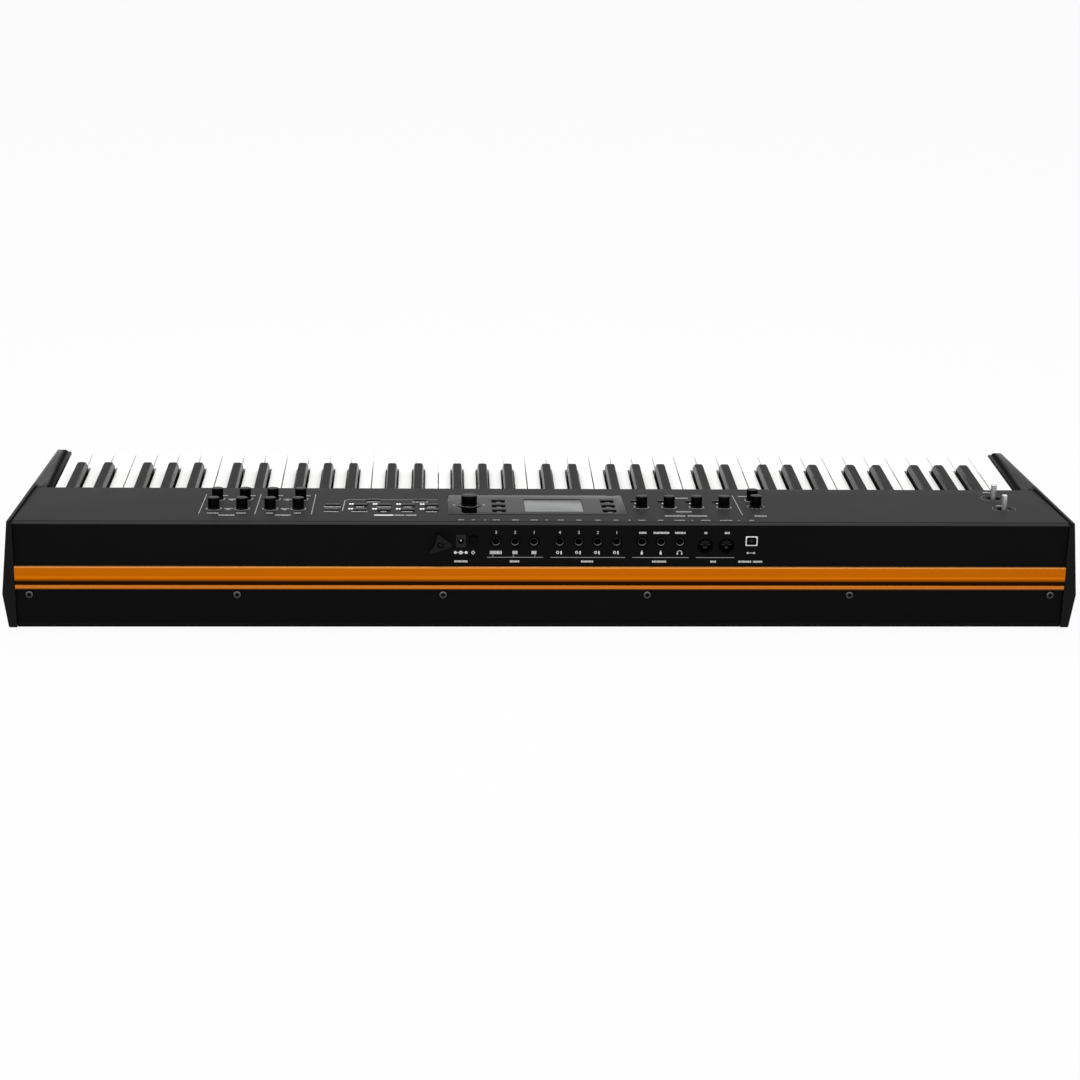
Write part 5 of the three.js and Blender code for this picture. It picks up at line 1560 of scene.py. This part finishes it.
class BuildLamps(bpy.types.Operator):
    """Lit lamps: a pair of small square windows beside each grid button and a dot beside each zone knob"""

    bl_idname = "piano.build_lamps"
    bl_label = "Lamps"

    def execute(self, context):
        lamps, top = Form(), 0.25
        for along in ROWS[:2]:
            pair = Form()
            for side in (-1, 1):
                window = oblong(GRID_XS[-1] + 9.4 + side * 1.25, -along - 5, 2, 4.4, 0.3, 2)
                pair.slab(window, INK_FOOT, top, 0.08, steps=2)
            step = (GRID_XS[0] - GRID_XS[1], 0, 0)
            lamps.add(repeated(pair, "row", "lamp", Count=len(GRID_XS), Step=step))
        dot = Form().rod((ZONE_XS[0] + 5, -77.4), 0.8, INK_FOOT, top, sides=20, edge=0.1)
        step = (ZONE_XS[1] - ZONE_XS[0], 0, 0)
        lamps.add(repeated(dot, "row", "lamp", Count=len(ZONE_XS), Step=step))
        settle("button_lamps", lamps, PANEL, "case", "lamp")
        return {"FINISHED"}


class DressHidden(bpy.types.Operator):
    """Gives the boards, frame and yokes inside the case their finishes"""

    bl_idname = "piano.dress_hidden"
    bl_label = "Hidden parts"

    def execute(self, context):
        for node, obj in frame["nodes"].items():
            dress(obj, SLOT_OF[node])
        return {"FINISHED"}


class BuildStage(bpy.types.Operator):
    """Pale floor, soft light and the camera behind the piano"""

    bl_idname = "piano.build_stage"
    bl_label = "Stage"

    def execute(self, context):
        scene, studio = context.scene, context.scene.piano_studio
        scene.view_settings.view_transform = "Standard"
        self.floor()
        self.world(scene, studio.surround)
        lean = math.radians(68)
        self.light("top light", (0.0, -0.1, 1.7), (0, 0, 0), (2.6, 1.8), studio.top_power)
        self.light("rear light", (0.3, 2.4, 1.0), (lean, 0, math.pi), (2.4, 1.2), studio.rear_power)
        lens = bpy.data.cameras.new("camera")
        for name, value in CAMERA_LENS.items():
            setattr(lens, name, value)
        turn = Matrix(CAMERA_AXES).transposed().to_4x4()
        scene.camera = linked("camera", lens)
        scene.camera.matrix_world = Matrix.Translation(CAMERA_PLACE) @ turn
        return {"FINISHED"}

    def bare(self, owner):
        """A graph of an owner's nodes, which starts empty."""
        owner.use_nodes = True
        owner.node_tree.nodes.clear()
        return Graph(owner.node_tree)

    def seen_white(self, graph, share=1.0):
        """One or a share of it for camera, glossy and transmission rays."""
        kinds = ("Camera", "Glossy", "Transmission")
        rays = [graph.node("ShaderNodeLightPath", output=f"Is {kind} Ray") for kind in kinds]
        return (rays[0] | rays[1] | rays[2]) * share

    def floor(self):
        data = bpy.data.meshes.new("floor")
        data.from_pydata([(-30, -30, 0), (30, -30, 0), (30, 30, 0), (-30, 30, 0)], [], [(0, 1, 2, 3)])
        material = bpy.data.materials.new("floor")
        graph = self.bare(material)
        tone = graph.blend(graph.noise(3, 2), (0.78, 0.78, 0.78, 1), (0.82, 0.82, 0.82, 1))
        plain = graph.node("ShaderNodeBsdfDiffuse", {"Color": tone})
        white = graph.node("ShaderNodeEmission", {"Color": WHITE, "Strength": 1.0})
        mixed = graph.node("ShaderNodeMixShader", {0: self.seen_white(graph, 0.95), 1: plain, 2: white})
        graph.node("ShaderNodeOutputMaterial", {"Surface": mixed})
        data.materials.append(material)
        linked("floor", data)

    def world(self, scene, level):
        scene.world = bpy.data.worlds.new("studio")
        graph = self.bare(scene.world)
        inputs = {0: self.seen_white(graph)}
        for slot, strength in ((1, level), (2, 1.0)):
            inputs[slot] = graph.node("ShaderNodeBackground", {"Color": WHITE, "Strength": strength})
        graph.node("ShaderNodeOutputWorld", {"Surface": graph.node("ShaderNodeMixShader", inputs)})

    def light(self, name, place, turn, size, power):
        lamp = bpy.data.lights.new(name, "AREA")
        lamp.shape = "RECTANGLE"
        lamp.size, lamp.size_y = size
        lamp.energy = power
        obj = linked(name, lamp)
        obj.location, obj.rotation_euler = place, turn


class PianoPanel(bpy.types.Panel):
    """Sidebar panel that lists the piano's pieces"""

    bl_label = "Stage Piano"
    bl_idname = "VIEW3D_PT_stage_piano"
    bl_space_type = "VIEW_3D"
    bl_region_type = "UI"
    bl_category = "Stage Piano"

    def draw(self, context):
        for group in (context.scene.piano_sizes, context.scene.piano_colours, context.scene.piano_studio):
            box = self.layout.box()
            for name in group.bl_rna.properties.keys():
                if name not in ("rna_type", "name"):
                    box.prop(group, name)
        for operator in OPERATORS:
            self.layout.operator(operator.bl_idname)


GROUPS = {"piano_sizes": PianoSizes, "piano_colours": PianoColours, "piano_studio": PianoStudio}
OPERATORS = [
    BuildStage,
    DressHidden,
    BuildPanel,
    BuildTray,
    BuildRail,
    BuildCheeks,
    BuildKeys,
    BuildDisplay,
    BuildButtons,
    BuildKnobs,
    BuildJoysticks,
    BuildJacks,
    BuildSockets,
    BuildHook,
    BuildFixings,
    BuildPrints,
    BuildLamps,
]


def register():
    for group in GROUPS.values():
        bpy.utils.register_class(group)
    for name, group in GROUPS.items():
        setattr(bpy.types.Scene, name, PointerProperty(type=group))
    for operator in OPERATORS:
        bpy.utils.register_class(operator)
    bpy.utils.register_class(PianoPanel)


def unregister():
    bpy.utils.unregister_class(PianoPanel)
    for operator in reversed(OPERATORS):
        bpy.utils.unregister_class(operator)
    for name, group in GROUPS.items():
        delattr(bpy.types.Scene, name)
        bpy.utils.unregister_class(group)


def main():
    """Builds every piece in order."""
    register()
    for operator in OPERATORS:
        group, name = operator.bl_idname.split(".")
        getattr(getattr(bpy.ops, group), name)()


if __name__ == "__main__":
    main()
